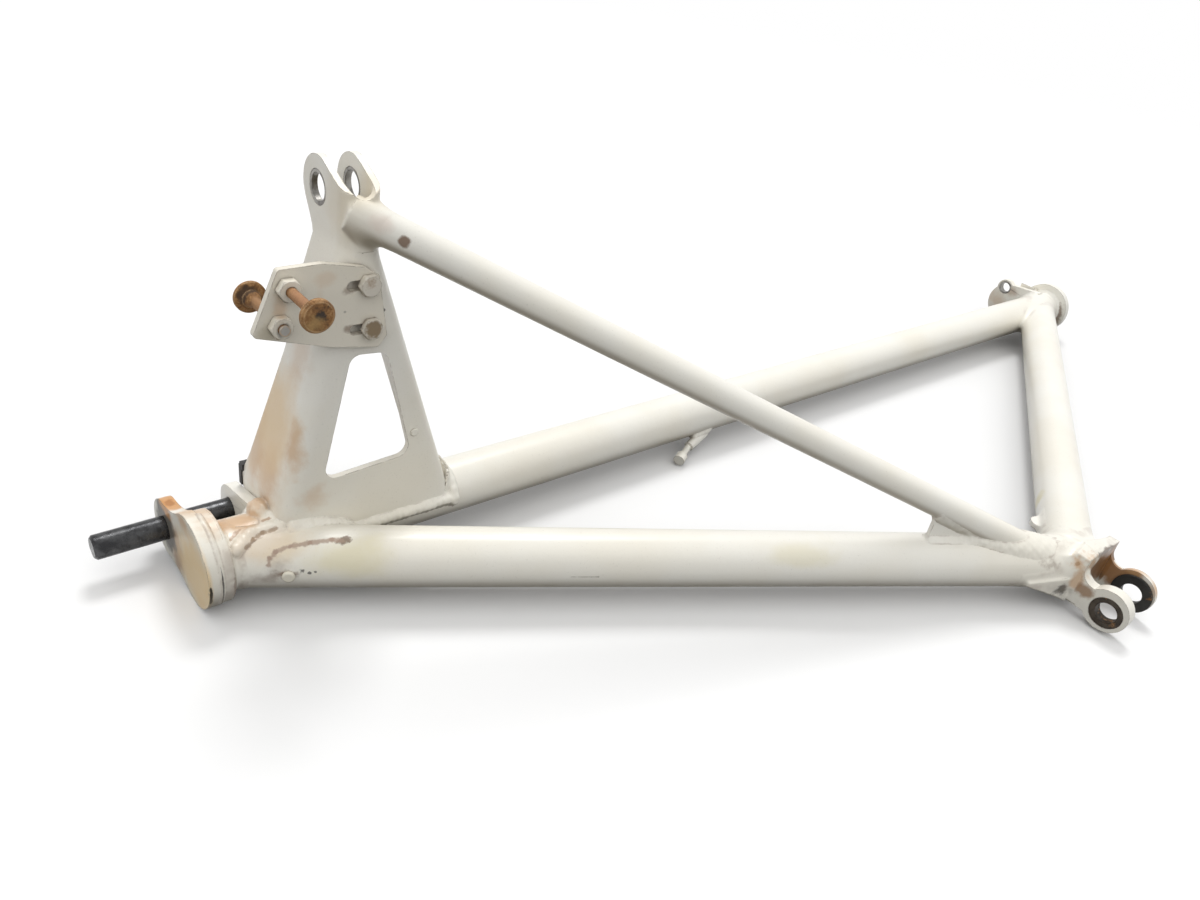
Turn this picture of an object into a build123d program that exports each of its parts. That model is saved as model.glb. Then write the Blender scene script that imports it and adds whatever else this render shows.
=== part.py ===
from build123d import *
import os

# Main landing gear brace, sizes in millimetres.
# Origin: hinge axis at the outer face of the front outer lug.
# +X runs along the hinge tube towards the rear lug, +Y away from the lower clevis, +Z up.
# The brace lies on its two end discs and on the lower clevis.

INCH = 25.4

# Common sizes
WELD_GAP = 0.02
SLIDE_GAP = 0.3
SHEET = 3.2
LUG_THICK = 0.25 * INCH
TUBE_R = 1.25 * INCH / 2
TUBE_WALL = 1.65
BRACE_TUBE_R = 0.625 * INCH / 2
BRACE_TUBE_WALL = 1.24
DISC_R = 24.2

# Frame of three tubes
TUBE_Y = -36.0
TUBE_Z = 3.6
FLOOR_Z = TUBE_Z - DISC_R
FRONT_NODE = Vector(10.5, TUBE_Y, TUBE_Z)
REAR_NODE_X = 851.1
REAR_NODE = Vector(REAR_NODE_X, TUBE_Y, TUBE_Z)
CLEVIS_NODE = Vector(440.8, -274.0, TUBE_Z)
FRONT_RUN = CLEVIS_NODE - FRONT_NODE
CROSS_RUN = REAR_NODE - CLEVIS_NODE
RUN_PAST_CLEVIS = 30.0

# Diagonal tube, from the tower's web to the top of the front tube
DIAGONAL_TOP_X = 83.0
DIAGONAL_TOP_Z = 172.2
DIAGONAL_FOOT_U = 457.3
DIAGONAL_FOOT_V = 10.0

# Hinge line, which climbs a little from the front lugs to the rear lug
REAR_LUG_X = 842.0
REAR_BORE_RISE = 14.1
PIN_R = 0.5 * INCH / 2
PIN_FREE = 34.5
PIN_INSIDE = 38.5
PIN_FIT = 0.05
PIN_CHAMFER = 1.2
GROOVE_WIDTH = 1.6
GROOVE_DEPTH = 0.4
EAR_CENTRE = (1.0, -1.0)
EAR_R = 15.5
EAR_NECK_R = 45.0
COLLAR_X = LUG_THICK
COLLAR_END_X = 2 * LUG_THICK
INNER_LUG_X = 33.15
INNER_EAR_R = 13.5
LUG_RING_R = 18.5
REAR_DISC_X = 863.5
REAR_PLATE_R = 20.0
REAR_PLATE_CENTRE = (-7.5, FLOOR_Z + REAR_PLATE_R)
REAR_BUMP_R = 8.2
REAR_BUSH_R = 0.25 * INCH
REAR_BORE_R = 0.375 * INCH / 2

# Lower clevis
CLEVIS_BORE_Y = -309.0
CLEVIS_BORE_Z = -6.2
CLEVIS_EAR_R = 13.6
CLEVIS_EAR_Y = CLEVIS_BORE_Y + 0.8
CLEVIS_EAR_Z = CLEVIS_BORE_Z + 1.1
CLEVIS_NECK_R = 9.0
CLEVIS_X = 427.5
CLEVIS_EAR = 0.3125 * INCH
CLEVIS_REAR_EAR = 3.5
CLEVIS_WIDTH = 40.1
CLEVIS_WEB_Y = -282.3
CLEVIS_WEB = 0.25 * INCH
CLEVIS_WEB_TOP = 18.5
CLEVIS_CROOK_R = 8.0
CLEVIS_BUSH_R = 0.775 * INCH / 2
CLEVIS_BORE_R = 0.25 * INCH
CLEVIS_BUSH_LIP = 1.6
CLEVIS_LIP_R = 12.2

# Tower channel and its upper clevis
WEB_FRONT = TUBE_Y - TUBE_R
FOOT_Z = 8.6
FOOT_LEFT_X = 39.5
FOOT_KNEE_Z = 27.6
FOOT_RIGHT_X = 138.8
NECK_LEFT_X = 70.3
NECK_RIGHT_X = 89.7
NECK_LEFT_Z = 160.6
NECK_RIGHT_Z = 156.6
NECK_X = (NECK_LEFT_X + NECK_RIGHT_X) / 2
EAR_GAP = NECK_RIGHT_X - NECK_LEFT_X - 2 * SHEET
UPPER_BORE_Y = -26.0
UPPER_BORE_Z = 179.8
UPPER_EAR_R = 14.3
UPPER_BUSH_R = 0.625 * INCH / 2
UPPER_BORE_R = 0.25 * INCH
BEND_R = 8.0
KNEE_R = 25.0
NOTCH_Z = 181.6
WEB_TOP_Z = 183.6
NECK_BACK_Y = -22.5
FLANGE_BACK_Y = -20.0

# Stop bracket and its screws
BRACKET_FRONT = WEB_FRONT - SLIDE_GAP - SHEET
BRACKET_BOLTS = [(80.3, 144.8), (81.9, 123.4)]
SLOT_LEFT = 10.3
SLOT_RIGHT = 5.7
SCREW_R = 0.1875 * INCH / 2
SCREW_HOLE_R = SCREW_R + 0.12
HEX_ACROSS_FLATS = 0.375 * INCH
HEX_CORNER_R = 0.56 * HEX_ACROSS_FLATS
HEX_CHAMFER = 0.7
HEAD_HEIGHT = 3.2
NUT_HEIGHT = 4.0
WASHER_R = 5.0
WASHER_THICK = 0.8
THREAD_STAND = 2.0
FRONT_STOP = (42.8, 148.0)
REAR_STOP = (39.0, 131.6)
STOP_HEAD_R = 7.4
FRONT_STOP_HEAD_Y = -85.5
REAR_STOP_HEAD_Y = -22.5
STOP_NUT_FIT = 0.07


def along(start, run):
    """Plane square to a tube's centreline, at its start."""
    return Plane(origin=start, z_dir=run)


HINGE_TUBE = Plane(origin=(0, TUBE_Y, TUBE_Z), x_dir=(0, 1, 0), z_dir=(1, 0, 0))
FRONT_TUBE = along(FRONT_NODE, FRONT_RUN)
CROSS_TUBE = along(CLEVIS_NODE, CROSS_RUN)
HINGE_LINE = Plane(origin=(0, 0, 0), z_dir=(REAR_LUG_X, 0, REAR_BORE_RISE))
FRONT_UPRIGHT = Plane(origin=FRONT_NODE, x_dir=FRONT_RUN, z_dir=FRONT_RUN.cross(Vector(0, 0, 1)))
DIAGONAL_TOP = Vector(DIAGONAL_TOP_X, WEB_FRONT, DIAGONAL_TOP_Z)
DIAGONAL_FOOT = FRONT_UPRIGHT.from_local_coords((DIAGONAL_FOOT_U, DIAGONAL_FOOT_V, 0))
DIAGONAL_RUN = DIAGONAL_FOOT - DIAGONAL_TOP
DIAGONAL = along(DIAGONAL_TOP, DIAGONAL_RUN)


def disc(plane, radius):
    """Round face on a plane."""
    with BuildSketch(plane) as face:
        Circle(radius)
    return face.sketch


def ring(plane, outer, inner):
    """Ring-shaped face on a plane."""
    with BuildSketch(plane) as face:
        Circle(outer)
        Circle(inner, mode=Mode.SUBTRACT)
    return face.sketch


def outline(plane, points, corner=0.0):
    """Straight-sided face on a plane, with its corners rounded."""
    with BuildSketch(plane) as face:
        Polygon(*points, align=None)
        if corner > 0:
            fillet(face.vertices(), radius=corner)
    return face.sketch


def hull(plane, circles):
    """Face inside a belt drawn tight round circles, each (x, y, radius)."""
    with BuildSketch(plane) as face:
        for x, y, radius in circles:
            with Locations((x, y)):
                Circle(radius)
        make_hull()
    return face.sketch


def hex_blank(plane, height, bore=0.0):
    """Hexagon head or nut standing on a plane, its far corners chamfered."""
    with BuildPart() as blank:
        extrude(disc(plane, HEX_CORNER_R), amount=height)
        rims = blank.edges().filter_by(GeomType.CIRCLE)
        chamfer(rims.sort_by_distance(plane.offset(height).origin)[0], HEX_CHAMFER)
        with BuildSketch(plane):
            RegularPolygon(HEX_ACROSS_FLATS / 2, 6, major_radius=False)
        extrude(amount=height, mode=Mode.INTERSECT)
        if bore > 0:
            extrude(disc(plane, bore), amount=height, mode=Mode.SUBTRACT)
    return blank.part


def side(x):
    """Plane across the brace at x, drawn in (y, z) and facing +X."""
    return Plane.YZ.offset(x)


def front(y):
    """Upright plane at y, drawn in (x, z) and facing -Y."""
    return Plane.XZ.offset(-y)


def at(plane, point):
    """The same plane with its origin moved to a point drawn on it."""
    return Plane(origin=plane.from_local_coords(point), x_dir=plane.x_dir, z_dir=plane.z_dir)


def save(builder, name):
    builder.part.label = name
    export_step(builder.part, f"parts/{name}.step")


os.makedirs("parts", exist_ok=True)

# Hinge tube
with BuildPart() as hinge_tube:
    start = HINGE_TUBE.offset(COLLAR_END_X)
    extrude(ring(start, TUBE_R, TUBE_R - TUBE_WALL), amount=REAR_DISC_X - COLLAR_END_X)
save(hinge_tube, "hinge_tube")

# Front tube, coped onto the hinge tube and mitred at the clevis
with BuildPart() as front_tube:
    length = FRONT_RUN.length + RUN_PAST_CLEVIS
    extrude(ring(FRONT_TUBE, TUBE_R, TUBE_R - TUBE_WALL), amount=length)
    extrude(disc(HINGE_TUBE, TUBE_R + WELD_GAP), amount=REAR_DISC_X, mode=Mode.SUBTRACT)
    split(bisect_by=Plane(origin=(COLLAR_END_X, 0, 0), z_dir=(1, 0, 0)), keep=Keep.TOP)
    split(bisect_by=Plane(origin=CLEVIS_NODE, z_dir=(-1, 0, 0)), keep=Keep.TOP)
    split(bisect_by=Plane(origin=(0, CLEVIS_WEB_Y, 0), z_dir=(0, 1, 0)), keep=Keep.TOP)
save(front_tube, "front_tube")

# Cross tube, mitred to the front tube and coped onto the hinge tube
with BuildPart() as cross_tube:
    start = CROSS_TUBE.offset(-RUN_PAST_CLEVIS)
    length = CROSS_RUN.length + RUN_PAST_CLEVIS
    extrude(ring(start, TUBE_R, TUBE_R - TUBE_WALL), amount=length)
    extrude(disc(HINGE_TUBE, TUBE_R + WELD_GAP), amount=REAR_DISC_X, mode=Mode.SUBTRACT)
    split(bisect_by=Plane(origin=CLEVIS_NODE, z_dir=(1, 0, 0)), keep=Keep.TOP)
    split(bisect_by=Plane(origin=(0, CLEVIS_WEB_Y, 0), z_dir=(0, 1, 0)), keep=Keep.TOP)
save(cross_tube, "cross_tube")

# Diagonal tube, cut to the tower's front and coped onto the front tube
DIAGONAL_BACK = 10.0
with BuildPart() as diagonal_tube:
    start = DIAGONAL.offset(-DIAGONAL_BACK)
    length = DIAGONAL_RUN.length + DIAGONAL_BACK
    extrude(ring(start, BRACE_TUBE_R, BRACE_TUBE_R - BRACE_TUBE_WALL), amount=length)
    extrude(disc(FRONT_TUBE, TUBE_R + WELD_GAP), amount=FRONT_RUN.length, mode=Mode.SUBTRACT)
    low, high = DIAGONAL_TOP_Z - NECK_RIGHT_X, DIAGONAL_TOP_Z + NECK_RIGHT_X
    neck = [(0, low), (NECK_RIGHT_X, low), (NECK_RIGHT_X, high), (0, high)]
    extrude(outline(front(WEB_FRONT), neck), amount=TUBE_Y + WEB_FRONT, mode=Mode.SUBTRACT)
save(diagonal_tube, "diagonal_tube")

# Gusset in the corner under the diagonal's foot
GUSSET_START = 388.0
GUSSET_TIP = 458.0
GUSSET_TOP = 36.0
with BuildPart() as diagonal_gusset:
    low = TUBE_R / 2
    corner = [(GUSSET_START, low), (GUSSET_START, GUSSET_TOP), (GUSSET_TIP, low)]
    extrude(outline(FRONT_UPRIGHT, corner), amount=SHEET / 2, both=True)
    extrude(disc(FRONT_TUBE, TUBE_R + WELD_GAP), amount=FRONT_RUN.length, mode=Mode.SUBTRACT)
    extrude(disc(DIAGONAL, BRACE_TUBE_R + WELD_GAP), amount=2 * DIAGONAL_RUN.length, mode=Mode.SUBTRACT)
save(diagonal_gusset, "diagonal_gusset")

# Front outer lug: a disc that closes the tube and an ear round the hinge pin
with BuildPart() as front_outer_lug:
    with BuildSketch(side(0)):
        with Locations((TUBE_Y, TUBE_Z)):
            Circle(DISC_R)
        with Locations(EAR_CENTRE):
            Circle(EAR_R)
    extrude(amount=LUG_THICK)
    crooks = front_outer_lug.edges().filter_by(Axis.X).sort_by_distance((0, *EAR_CENTRE))[:2]
    fillet(crooks, radius=EAR_NECK_R)
    pin_way = HINGE_LINE.offset(-PIN_FREE)
    extrude(disc(pin_way, PIN_R + PIN_FIT), amount=2 * PIN_FREE, mode=Mode.SUBTRACT)
save(front_outer_lug, "front_outer_lug")

# Collar behind the outer lug
with BuildPart() as front_lug_collar:
    extrude(disc(HINGE_TUBE.offset(COLLAR_X), DISC_R - 0.6), amount=LUG_THICK)
    chamfer(front_lug_collar.edges().group_by(Axis.X)[-1], 1.2)
save(front_lug_collar, "front_lug_collar")

# Front inner lug, welded to the back of the hinge tube
with BuildPart() as front_inner_lug:
    start = side(INNER_LUG_X)
    extrude(hull(start, [(TUBE_Y, TUBE_Z, LUG_RING_R), (0, 0.6, INNER_EAR_R)]), amount=LUG_THICK)
    split(bisect_by=Plane(origin=(0, TUBE_Y, 0), z_dir=(0, 1, 0)), keep=Keep.TOP)
    extrude(disc(HINGE_TUBE, TUBE_R + WELD_GAP), amount=100, mode=Mode.SUBTRACT)
    extrude(disc(FRONT_TUBE, TUBE_R + WELD_GAP), amount=100, mode=Mode.SUBTRACT)
    extrude(disc(HINGE_LINE, PIN_R + PIN_FIT), amount=100, mode=Mode.SUBTRACT)
save(front_inner_lug, "front_inner_lug")

# Hinge pin with chamfered ends and a shallow groove at the outer lug's face
with BuildPart() as hinge_pin:
    extrude(disc(HINGE_LINE.offset(-PIN_FREE), PIN_R), amount=PIN_FREE + PIN_INSIDE)
    chamfer(hinge_pin.edges().group_by(Axis.X)[0], PIN_CHAMFER)
    chamfer(hinge_pin.edges().group_by(Axis.X)[-1], PIN_CHAMFER)
    extrude(ring(HINGE_LINE, PIN_R + 1, PIN_R - GROOVE_DEPTH), amount=GROOVE_WIDTH, mode=Mode.SUBTRACT)
save(hinge_pin, "hinge_pin")

# Rear end disc
with BuildPart() as rear_end_disc:
    extrude(disc(HINGE_TUBE.offset(REAR_DISC_X), DISC_R), amount=LUG_THICK)
save(rear_end_disc, "rear_end_disc")

# Rear inner lug, a rounded plate with a bump round the hinge bore
with BuildPart() as rear_inner_lug:
    start = side(REAR_LUG_X)
    plate = [(TUBE_Y, TUBE_Z, LUG_RING_R), (*REAR_PLATE_CENTRE, REAR_PLATE_R)]
    extrude(hull(start, plate), amount=LUG_THICK)
    bump = [(0, REAR_BORE_RISE, REAR_BUMP_R), (*REAR_PLATE_CENTRE, REAR_BUMP_R)]
    extrude(hull(start, bump), amount=LUG_THICK)
    split(bisect_by=Plane(origin=(0, TUBE_Y, 0), z_dir=(0, 1, 0)), keep=Keep.TOP)
    extrude(disc(HINGE_TUBE, TUBE_R + WELD_GAP), amount=REAR_DISC_X, mode=Mode.SUBTRACT)
    extrude(disc(CROSS_TUBE, TUBE_R + WELD_GAP), amount=CROSS_RUN.length, mode=Mode.SUBTRACT)
    extrude(disc(HINGE_LINE, REAR_BUSH_R), amount=REAR_DISC_X, mode=Mode.SUBTRACT)
save(rear_inner_lug, "rear_inner_lug")

# Rear lug bush
with BuildPart() as rear_lug_bush:
    extrude(ring(HINGE_LINE, REAR_BUSH_R, REAR_BORE_R), amount=REAR_DISC_X)
    split(bisect_by=side(REAR_LUG_X), keep=Keep.TOP)
    split(bisect_by=side(REAR_LUG_X + LUG_THICK), keep=Keep.BOTTOM)
save(rear_lug_bush, "rear_lug_bush")

# Wedge between the rear lug and the end disc, standing on the hinge tube
WEDGE_FRONT_Y = -27.0
WEDGE_WIDTH = 15.0
WEDGE_HIGH = 23.4
WEDGE_LOW = 16.9
with BuildPart() as rear_lug_wedge:
    start = REAR_LUG_X + LUG_THICK
    shape = [(start, TUBE_Z), (start, WEDGE_HIGH), (REAR_DISC_X, WEDGE_LOW), (REAR_DISC_X, TUBE_Z)]
    extrude(outline(front(WEDGE_FRONT_Y), shape), amount=-WEDGE_WIDTH)
    extrude(disc(HINGE_TUBE, TUBE_R + WELD_GAP), amount=REAR_DISC_X, mode=Mode.SUBTRACT)
save(rear_lug_wedge, "rear_lug_wedge")

# Lower clevis, a web across the tube ends with a thick front ear and a thin rear ear
CLEVIS_REAR_X = CLEVIS_X + CLEVIS_WIDTH
REAR_EAR_X = CLEVIS_REAR_X - CLEVIS_REAR_EAR
with BuildPart() as lower_clevis:
    web_front = CLEVIS_WEB_Y - CLEVIS_WEB
    web_foot = TUBE_Z - TUBE_R
    shoulder = CLEVIS_EAR_Z + CLEVIS_NECK_R
    with BuildSketch(side(CLEVIS_X)) as ear:
        with Locations((CLEVIS_EAR_Y, CLEVIS_EAR_Z)):
            Circle(CLEVIS_NECK_R)
        with Locations((CLEVIS_WEB_Y, web_foot)):
            Rectangle(CLEVIS_WEB, shoulder - web_foot, align=(Align.MAX, Align.MIN))
        make_hull()
        with Locations((CLEVIS_EAR_Y, CLEVIS_EAR_Z)):
            Circle(CLEVIS_EAR_R)
        with Locations((CLEVIS_WEB_Y, web_foot)):
            Rectangle(CLEVIS_WEB, CLEVIS_WEB_TOP - web_foot, align=(Align.MAX, Align.MIN))
        crook = ear.vertices().sort_by_distance((web_front, shoulder))[0]
        fillet(crook, radius=CLEVIS_CROOK_R)
    extrude(amount=CLEVIS_WIDTH)
    reach = 2 * CLEVIS_WIDTH
    gap = [(CLEVIS_X + CLEVIS_EAR, -reach), (REAR_EAR_X, -reach),
           (REAR_EAR_X, reach), (CLEVIS_X + CLEVIS_EAR, reach)]
    extrude(outline(front(web_front), gap), amount=reach, mode=Mode.SUBTRACT)
    bore = at(side(0), (CLEVIS_BORE_Y, CLEVIS_BORE_Z))
    extrude(disc(bore, CLEVIS_BUSH_R), amount=CLEVIS_REAR_X, mode=Mode.SUBTRACT)
save(lower_clevis, "lower_clevis")

# Clevis bushes: a plain one in the front ear, a lipped one in the rear ear
with BuildPart() as clevis_front_bush:
    start = at(side(CLEVIS_X), (CLEVIS_BORE_Y, CLEVIS_BORE_Z))
    extrude(ring(start, CLEVIS_BUSH_R, CLEVIS_BORE_R), amount=CLEVIS_EAR)
save(clevis_front_bush, "clevis_front_bush")

with BuildPart() as clevis_rear_bush:
    start = at(side(REAR_EAR_X), (CLEVIS_BORE_Y, CLEVIS_BORE_Z))
    extrude(ring(start, CLEVIS_BUSH_R, CLEVIS_BORE_R), amount=CLEVIS_REAR_EAR)
    extrude(ring(start, CLEVIS_LIP_R, CLEVIS_BORE_R), amount=-CLEVIS_BUSH_LIP)
save(clevis_rear_bush, "clevis_rear_bush")

# Side plate that carries the front tube into the clevis's front ear
PLATE_START = 455.0
PLATE_END = 500.0
PLATE_TOP = (-4.0, 4.0)
PLATE_FOOT = [(PLATE_END, -23.8), (PLATE_START + 7, -7.2)]
PLATE_SINK = 3.0
PLATE_STAND = 1.6
with BuildPart() as clevis_side_plate:
    points = [(PLATE_START, PLATE_TOP[0]), (PLATE_END, PLATE_TOP[1]), *PLATE_FOOT]
    face = outline(FRONT_UPRIGHT.offset(TUBE_R - PLATE_SINK), points)
    extrude(face, amount=PLATE_SINK + PLATE_STAND)
    extrude(disc(FRONT_TUBE, TUBE_R + WELD_GAP), amount=PLATE_END, mode=Mode.SUBTRACT)
    split(bisect_by=side(CLEVIS_X), keep=Keep.BOTTOM)
save(clevis_side_plate, "clevis_side_plate")


def channel_outline(bottom, top):
    """Tower seen from the front, leaning in from its foot to the neck."""
    with BuildSketch(front(WEB_FRONT)) as face:
        Polygon(
            (FOOT_LEFT_X, bottom),
            (FOOT_LEFT_X, FOOT_KNEE_Z),
            (NECK_LEFT_X, NECK_LEFT_Z),
            (NECK_LEFT_X, top),
            (NECK_RIGHT_X, top),
            (NECK_RIGHT_X, NECK_RIGHT_Z),
            (FOOT_RIGHT_X, bottom),
            align=None,
        )
        knees = face.vertices().filter_by_position(Axis.Y, bottom + 1, top - 1)
        fillet(knees, radius=KNEE_R)
    return face


CHANNEL_TOP = UPPER_BORE_Z + UPPER_EAR_R + 1
CHANNEL_DEPTH = 48.9

# Inside of the bent sheet, taken away from the tower below
with BuildPart() as channel_inside:
    whole = channel_outline(FOOT_Z - 3 * SHEET, CHANNEL_TOP + 3 * SHEET)
    with BuildSketch(front(WEB_FRONT + SHEET)) as hollow:
        add(whole.sketch_local)
        offset(amount=-SHEET, kind=Kind.INTERSECTION)
    extrude(hollow.sketch, amount=-2 * CHANNEL_DEPTH)
    bends = channel_inside.edges().group_by(Axis.Y)[0].filter_by(Axis.X, reverse=True)
    fillet(bends, radius=BEND_R - SHEET)

# Side shape of the two flanges
EAR_ROOT = 26.0
FLANGE_FOOT_BACK = WEB_FRONT + CHANNEL_DEPTH
LEFT_FLANGE_FOOT = [(FLANGE_FOOT_BACK, 15.6), (FLANGE_FOOT_BACK, 23.6), (FLANGE_FOOT_BACK - 5.0, 38.6)]
RIGHT_FLANGE_FOOT = [(FLANGE_BACK_Y, FOOT_Z)]
with BuildPart() as channel_side:
    for x, low_back in [(0, LEFT_FLANGE_FOOT), (NECK_X, RIGHT_FLANGE_FOOT)]:
        with BuildSketch(side(x)) as flange:
            Polygon(
                (WEB_FRONT, FOOT_Z),
                *low_back,
                (FLANGE_BACK_Y, 101.6),
                (FLANGE_BACK_Y, 142.6),
                (NECK_BACK_Y, NECK_LEFT_Z),
                (WEB_FRONT, NECK_LEFT_Z),
                align=None,
            )
            with BuildSketch() as ear:
                with Locations((UPPER_BORE_Y, UPPER_BORE_Z)):
                    Circle(UPPER_EAR_R)
                with Locations((WEB_FRONT, WEB_TOP_Z)):
                    Rectangle(NECK_BACK_Y - WEB_FRONT, EAR_ROOT, align=(Align.MIN, Align.MAX))
                make_hull()
        extrude(flange.sketch, amount=NECK_X if x == 0 else NECK_X * 2)

# Tower channel, bent from one sheet, with the upper clevis's ears at its top
with BuildPart() as tower_channel:
    extrude(channel_outline(FOOT_Z, CHANNEL_TOP).sketch, amount=-CHANNEL_DEPTH)
    bends = tower_channel.edges().group_by(Axis.Y)[0].filter_by(Axis.X, reverse=True)
    fillet(bends, radius=BEND_R)
    add(channel_inside.part, mode=Mode.SUBTRACT)
    add(channel_side.part, mode=Mode.INTERSECT)
    window = [(74.5, 108.6), (93, 107.1), (109, 45.1), (60.5, 41.6)]
    extrude(outline(front(WEB_FRONT), window, corner=6.0), amount=-BEND_R, mode=Mode.SUBTRACT)
    notch = at(front(WEB_FRONT), (NECK_X, NOTCH_Z + EAR_GAP / 2))
    extrude(disc(notch, EAR_GAP / 2), amount=-BEND_R, mode=Mode.SUBTRACT)
    upper_bore = at(side(0), (UPPER_BORE_Y, UPPER_BORE_Z))
    extrude(disc(upper_bore, UPPER_BUSH_R), amount=2 * NECK_X, mode=Mode.SUBTRACT)
    for spot in BRACKET_BOLTS:
        hole = at(front(WEB_FRONT), spot)
        extrude(disc(hole, SCREW_HOLE_R), amount=-BEND_R, mode=Mode.SUBTRACT)
    extrude(disc(HINGE_TUBE, TUBE_R + WELD_GAP), amount=200, mode=Mode.SUBTRACT)
    extrude(disc(FRONT_TUBE, TUBE_R + WELD_GAP), amount=200, mode=Mode.SUBTRACT)
    extrude(disc(HINGE_LINE, PIN_R + 1.2), amount=100, mode=Mode.SUBTRACT)
save(tower_channel, "tower_channel")

# Upper clevis bushes, one in each ear
with BuildPart() as upper_clevis_bushes:
    for x in (NECK_LEFT_X, NECK_RIGHT_X - SHEET):
        start = at(side(x), (UPPER_BORE_Y, UPPER_BORE_Z))
        extrude(ring(start, UPPER_BUSH_R, UPPER_BORE_R), amount=SHEET)
save(upper_clevis_bushes, "upper_clevis_bushes")

# Stop bracket, slotted so that it can be set sideways
BRACKET = [(38.8, 156.6), (58.5, 157.1), (78.6, 153.1), (85.6, 148.6), (90.6, 118.1), (86.3, 112.6),
           (62.3, 116.8), (27.0, 127.6)]
with BuildPart() as stop_bracket:
    extrude(outline(front(BRACKET_FRONT), BRACKET, corner=2.0), amount=-SHEET)
    for x, z in BRACKET_BOLTS:
        middle = x + (SLOT_RIGHT - SLOT_LEFT) / 2
        with BuildSketch(at(front(BRACKET_FRONT), (middle, z))) as slot:
            SlotOverall(SLOT_LEFT + SLOT_RIGHT, 2 * SCREW_HOLE_R)
        extrude(slot.sketch, amount=-SHEET, mode=Mode.SUBTRACT)
    for spot in (FRONT_STOP, REAR_STOP):
        hole = at(front(BRACKET_FRONT), spot)
        extrude(disc(hole, SCREW_HOLE_R), amount=-SHEET, mode=Mode.SUBTRACT)
save(stop_bracket, "stop_bracket")

# Two hexagon bolts through the slots, with washers and nuts behind the tower's web
HEAD_UNDER = BRACKET_FRONT - SLIDE_GAP
WASHER_FRONT = WEB_FRONT + SHEET
NUT_FRONT = WASHER_FRONT + WASHER_THICK
bolt_heads = [hex_blank(at(front(HEAD_UNDER), spot), HEAD_HEIGHT) for spot in BRACKET_BOLTS]
with BuildPart() as bracket_bolts:
    shank = NUT_FRONT + NUT_HEIGHT + THREAD_STAND - HEAD_UNDER
    for spot, head in zip(BRACKET_BOLTS, bolt_heads):
        add(head)
        extrude(disc(at(front(HEAD_UNDER), spot), SCREW_R), amount=-shank)
save(bracket_bolts, "bracket_bolts")

with BuildPart() as bracket_washers:
    for spot in BRACKET_BOLTS:
        seat = at(front(WASHER_FRONT), spot)
        extrude(ring(seat, WASHER_R, SCREW_HOLE_R), amount=-WASHER_THICK)
save(bracket_washers, "bracket_washers")

bolt_nuts = [hex_blank(at(Plane(origin=(0, NUT_FRONT, 0), x_dir=(-1, 0, 0), z_dir=(0, 1, 0)), (-x, z)),
                       NUT_HEIGHT, SCREW_R) for x, z in BRACKET_BOLTS]
with BuildPart() as bracket_nuts:
    for nut in bolt_nuts:
        add(nut)
save(bracket_nuts, "bracket_nuts")


def stop_profile(plane):
    """Half section of a stop bolt's cap and neck; the cap's face lies on the plane's origin."""
    with BuildSketch(plane) as face:
        Polygon((0, 0), (STOP_HEAD_R - 1, 0), (STOP_HEAD_R, 1), (STOP_HEAD_R, 2.6), (4.2, 4.0),
                (SCREW_R, 8.5), (0, 8.5), align=None)
    return face.sketch


THREAD_END = BRACKET_FRONT + SHEET + 6.0

# Front stop bolt, cap forward
with BuildPart() as front_stop_bolt:
    x, z = FRONT_STOP
    half = Plane(origin=(x, FRONT_STOP_HEAD_Y, z), x_dir=(1, 0, 0), z_dir=(0, 0, 1))
    revolve(stop_profile(half), axis=Axis((x, FRONT_STOP_HEAD_Y, z), (0, 1, 0)))
    tip = at(front(FRONT_STOP_HEAD_Y), FRONT_STOP)
    extrude(disc(tip, SCREW_R), amount=FRONT_STOP_HEAD_Y - THREAD_END)
save(front_stop_bolt, "front_stop_bolt")

# Rear stop bolt, cap backward
with BuildPart() as rear_stop_bolt:
    x, z = REAR_STOP
    half = Plane(origin=(x, REAR_STOP_HEAD_Y, z), x_dir=(1, 0, 0), z_dir=(0, 0, -1))
    revolve(stop_profile(half), axis=Axis((x, REAR_STOP_HEAD_Y, z), (0, 1, 0)))
    tip = at(front(REAR_STOP_HEAD_Y), REAR_STOP)
    length = REAR_STOP_HEAD_Y - BRACKET_FRONT + NUT_HEIGHT + SLIDE_GAP + THREAD_STAND
    extrude(disc(tip, SCREW_R), amount=length)
save(rear_stop_bolt, "rear_stop_bolt")

# Nuts that set the two stop bolts
for name, spot in (("front_stop_nut", FRONT_STOP), ("rear_stop_nut", REAR_STOP)):
    blank = hex_blank(at(front(BRACKET_FRONT - SLIDE_GAP), spot), NUT_HEIGHT, SCREW_R + STOP_NUT_FIT)
    with BuildPart() as stop_nut:
        add(blank)
    save(stop_nut, name)

# Domed plug in the front tube and rivet in the tower's web
PLUG_R = 3.2
PLUG_STAND = 1.6
PLUG_DOME_R = 1.2
PLUG_ALONG = 37.0
with BuildPart() as tube_plug:
    middle = FRONT_UPRIGHT.from_local_coords((PLUG_ALONG, 0, 0))
    seat = Plane(origin=middle, x_dir=FRONT_RUN, z_dir=FRONT_UPRIGHT.z_dir)
    extrude(disc(seat, PLUG_R), amount=TUBE_R + PLUG_STAND)
    fillet(tube_plug.edges().sort_by(Axis.Y)[0], radius=PLUG_DOME_R)
    extrude(disc(FRONT_TUBE, TUBE_R + WELD_GAP), amount=FRONT_RUN.length, mode=Mode.SUBTRACT)
save(tube_plug, "tube_plug")

RIVET_SPOT = (110.3, 57.6)
RIVET_R = 2.2
RIVET_HEIGHT = 1.2
with BuildPart() as web_rivet:
    extrude(disc(at(front(WEB_FRONT), RIVET_SPOT), RIVET_R), amount=RIVET_HEIGHT)
    fillet(web_rivet.edges().sort_by(Axis.Y)[0], radius=RIVET_HEIGHT * 2 / 3)
save(web_rivet, "web_rivet")

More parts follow.
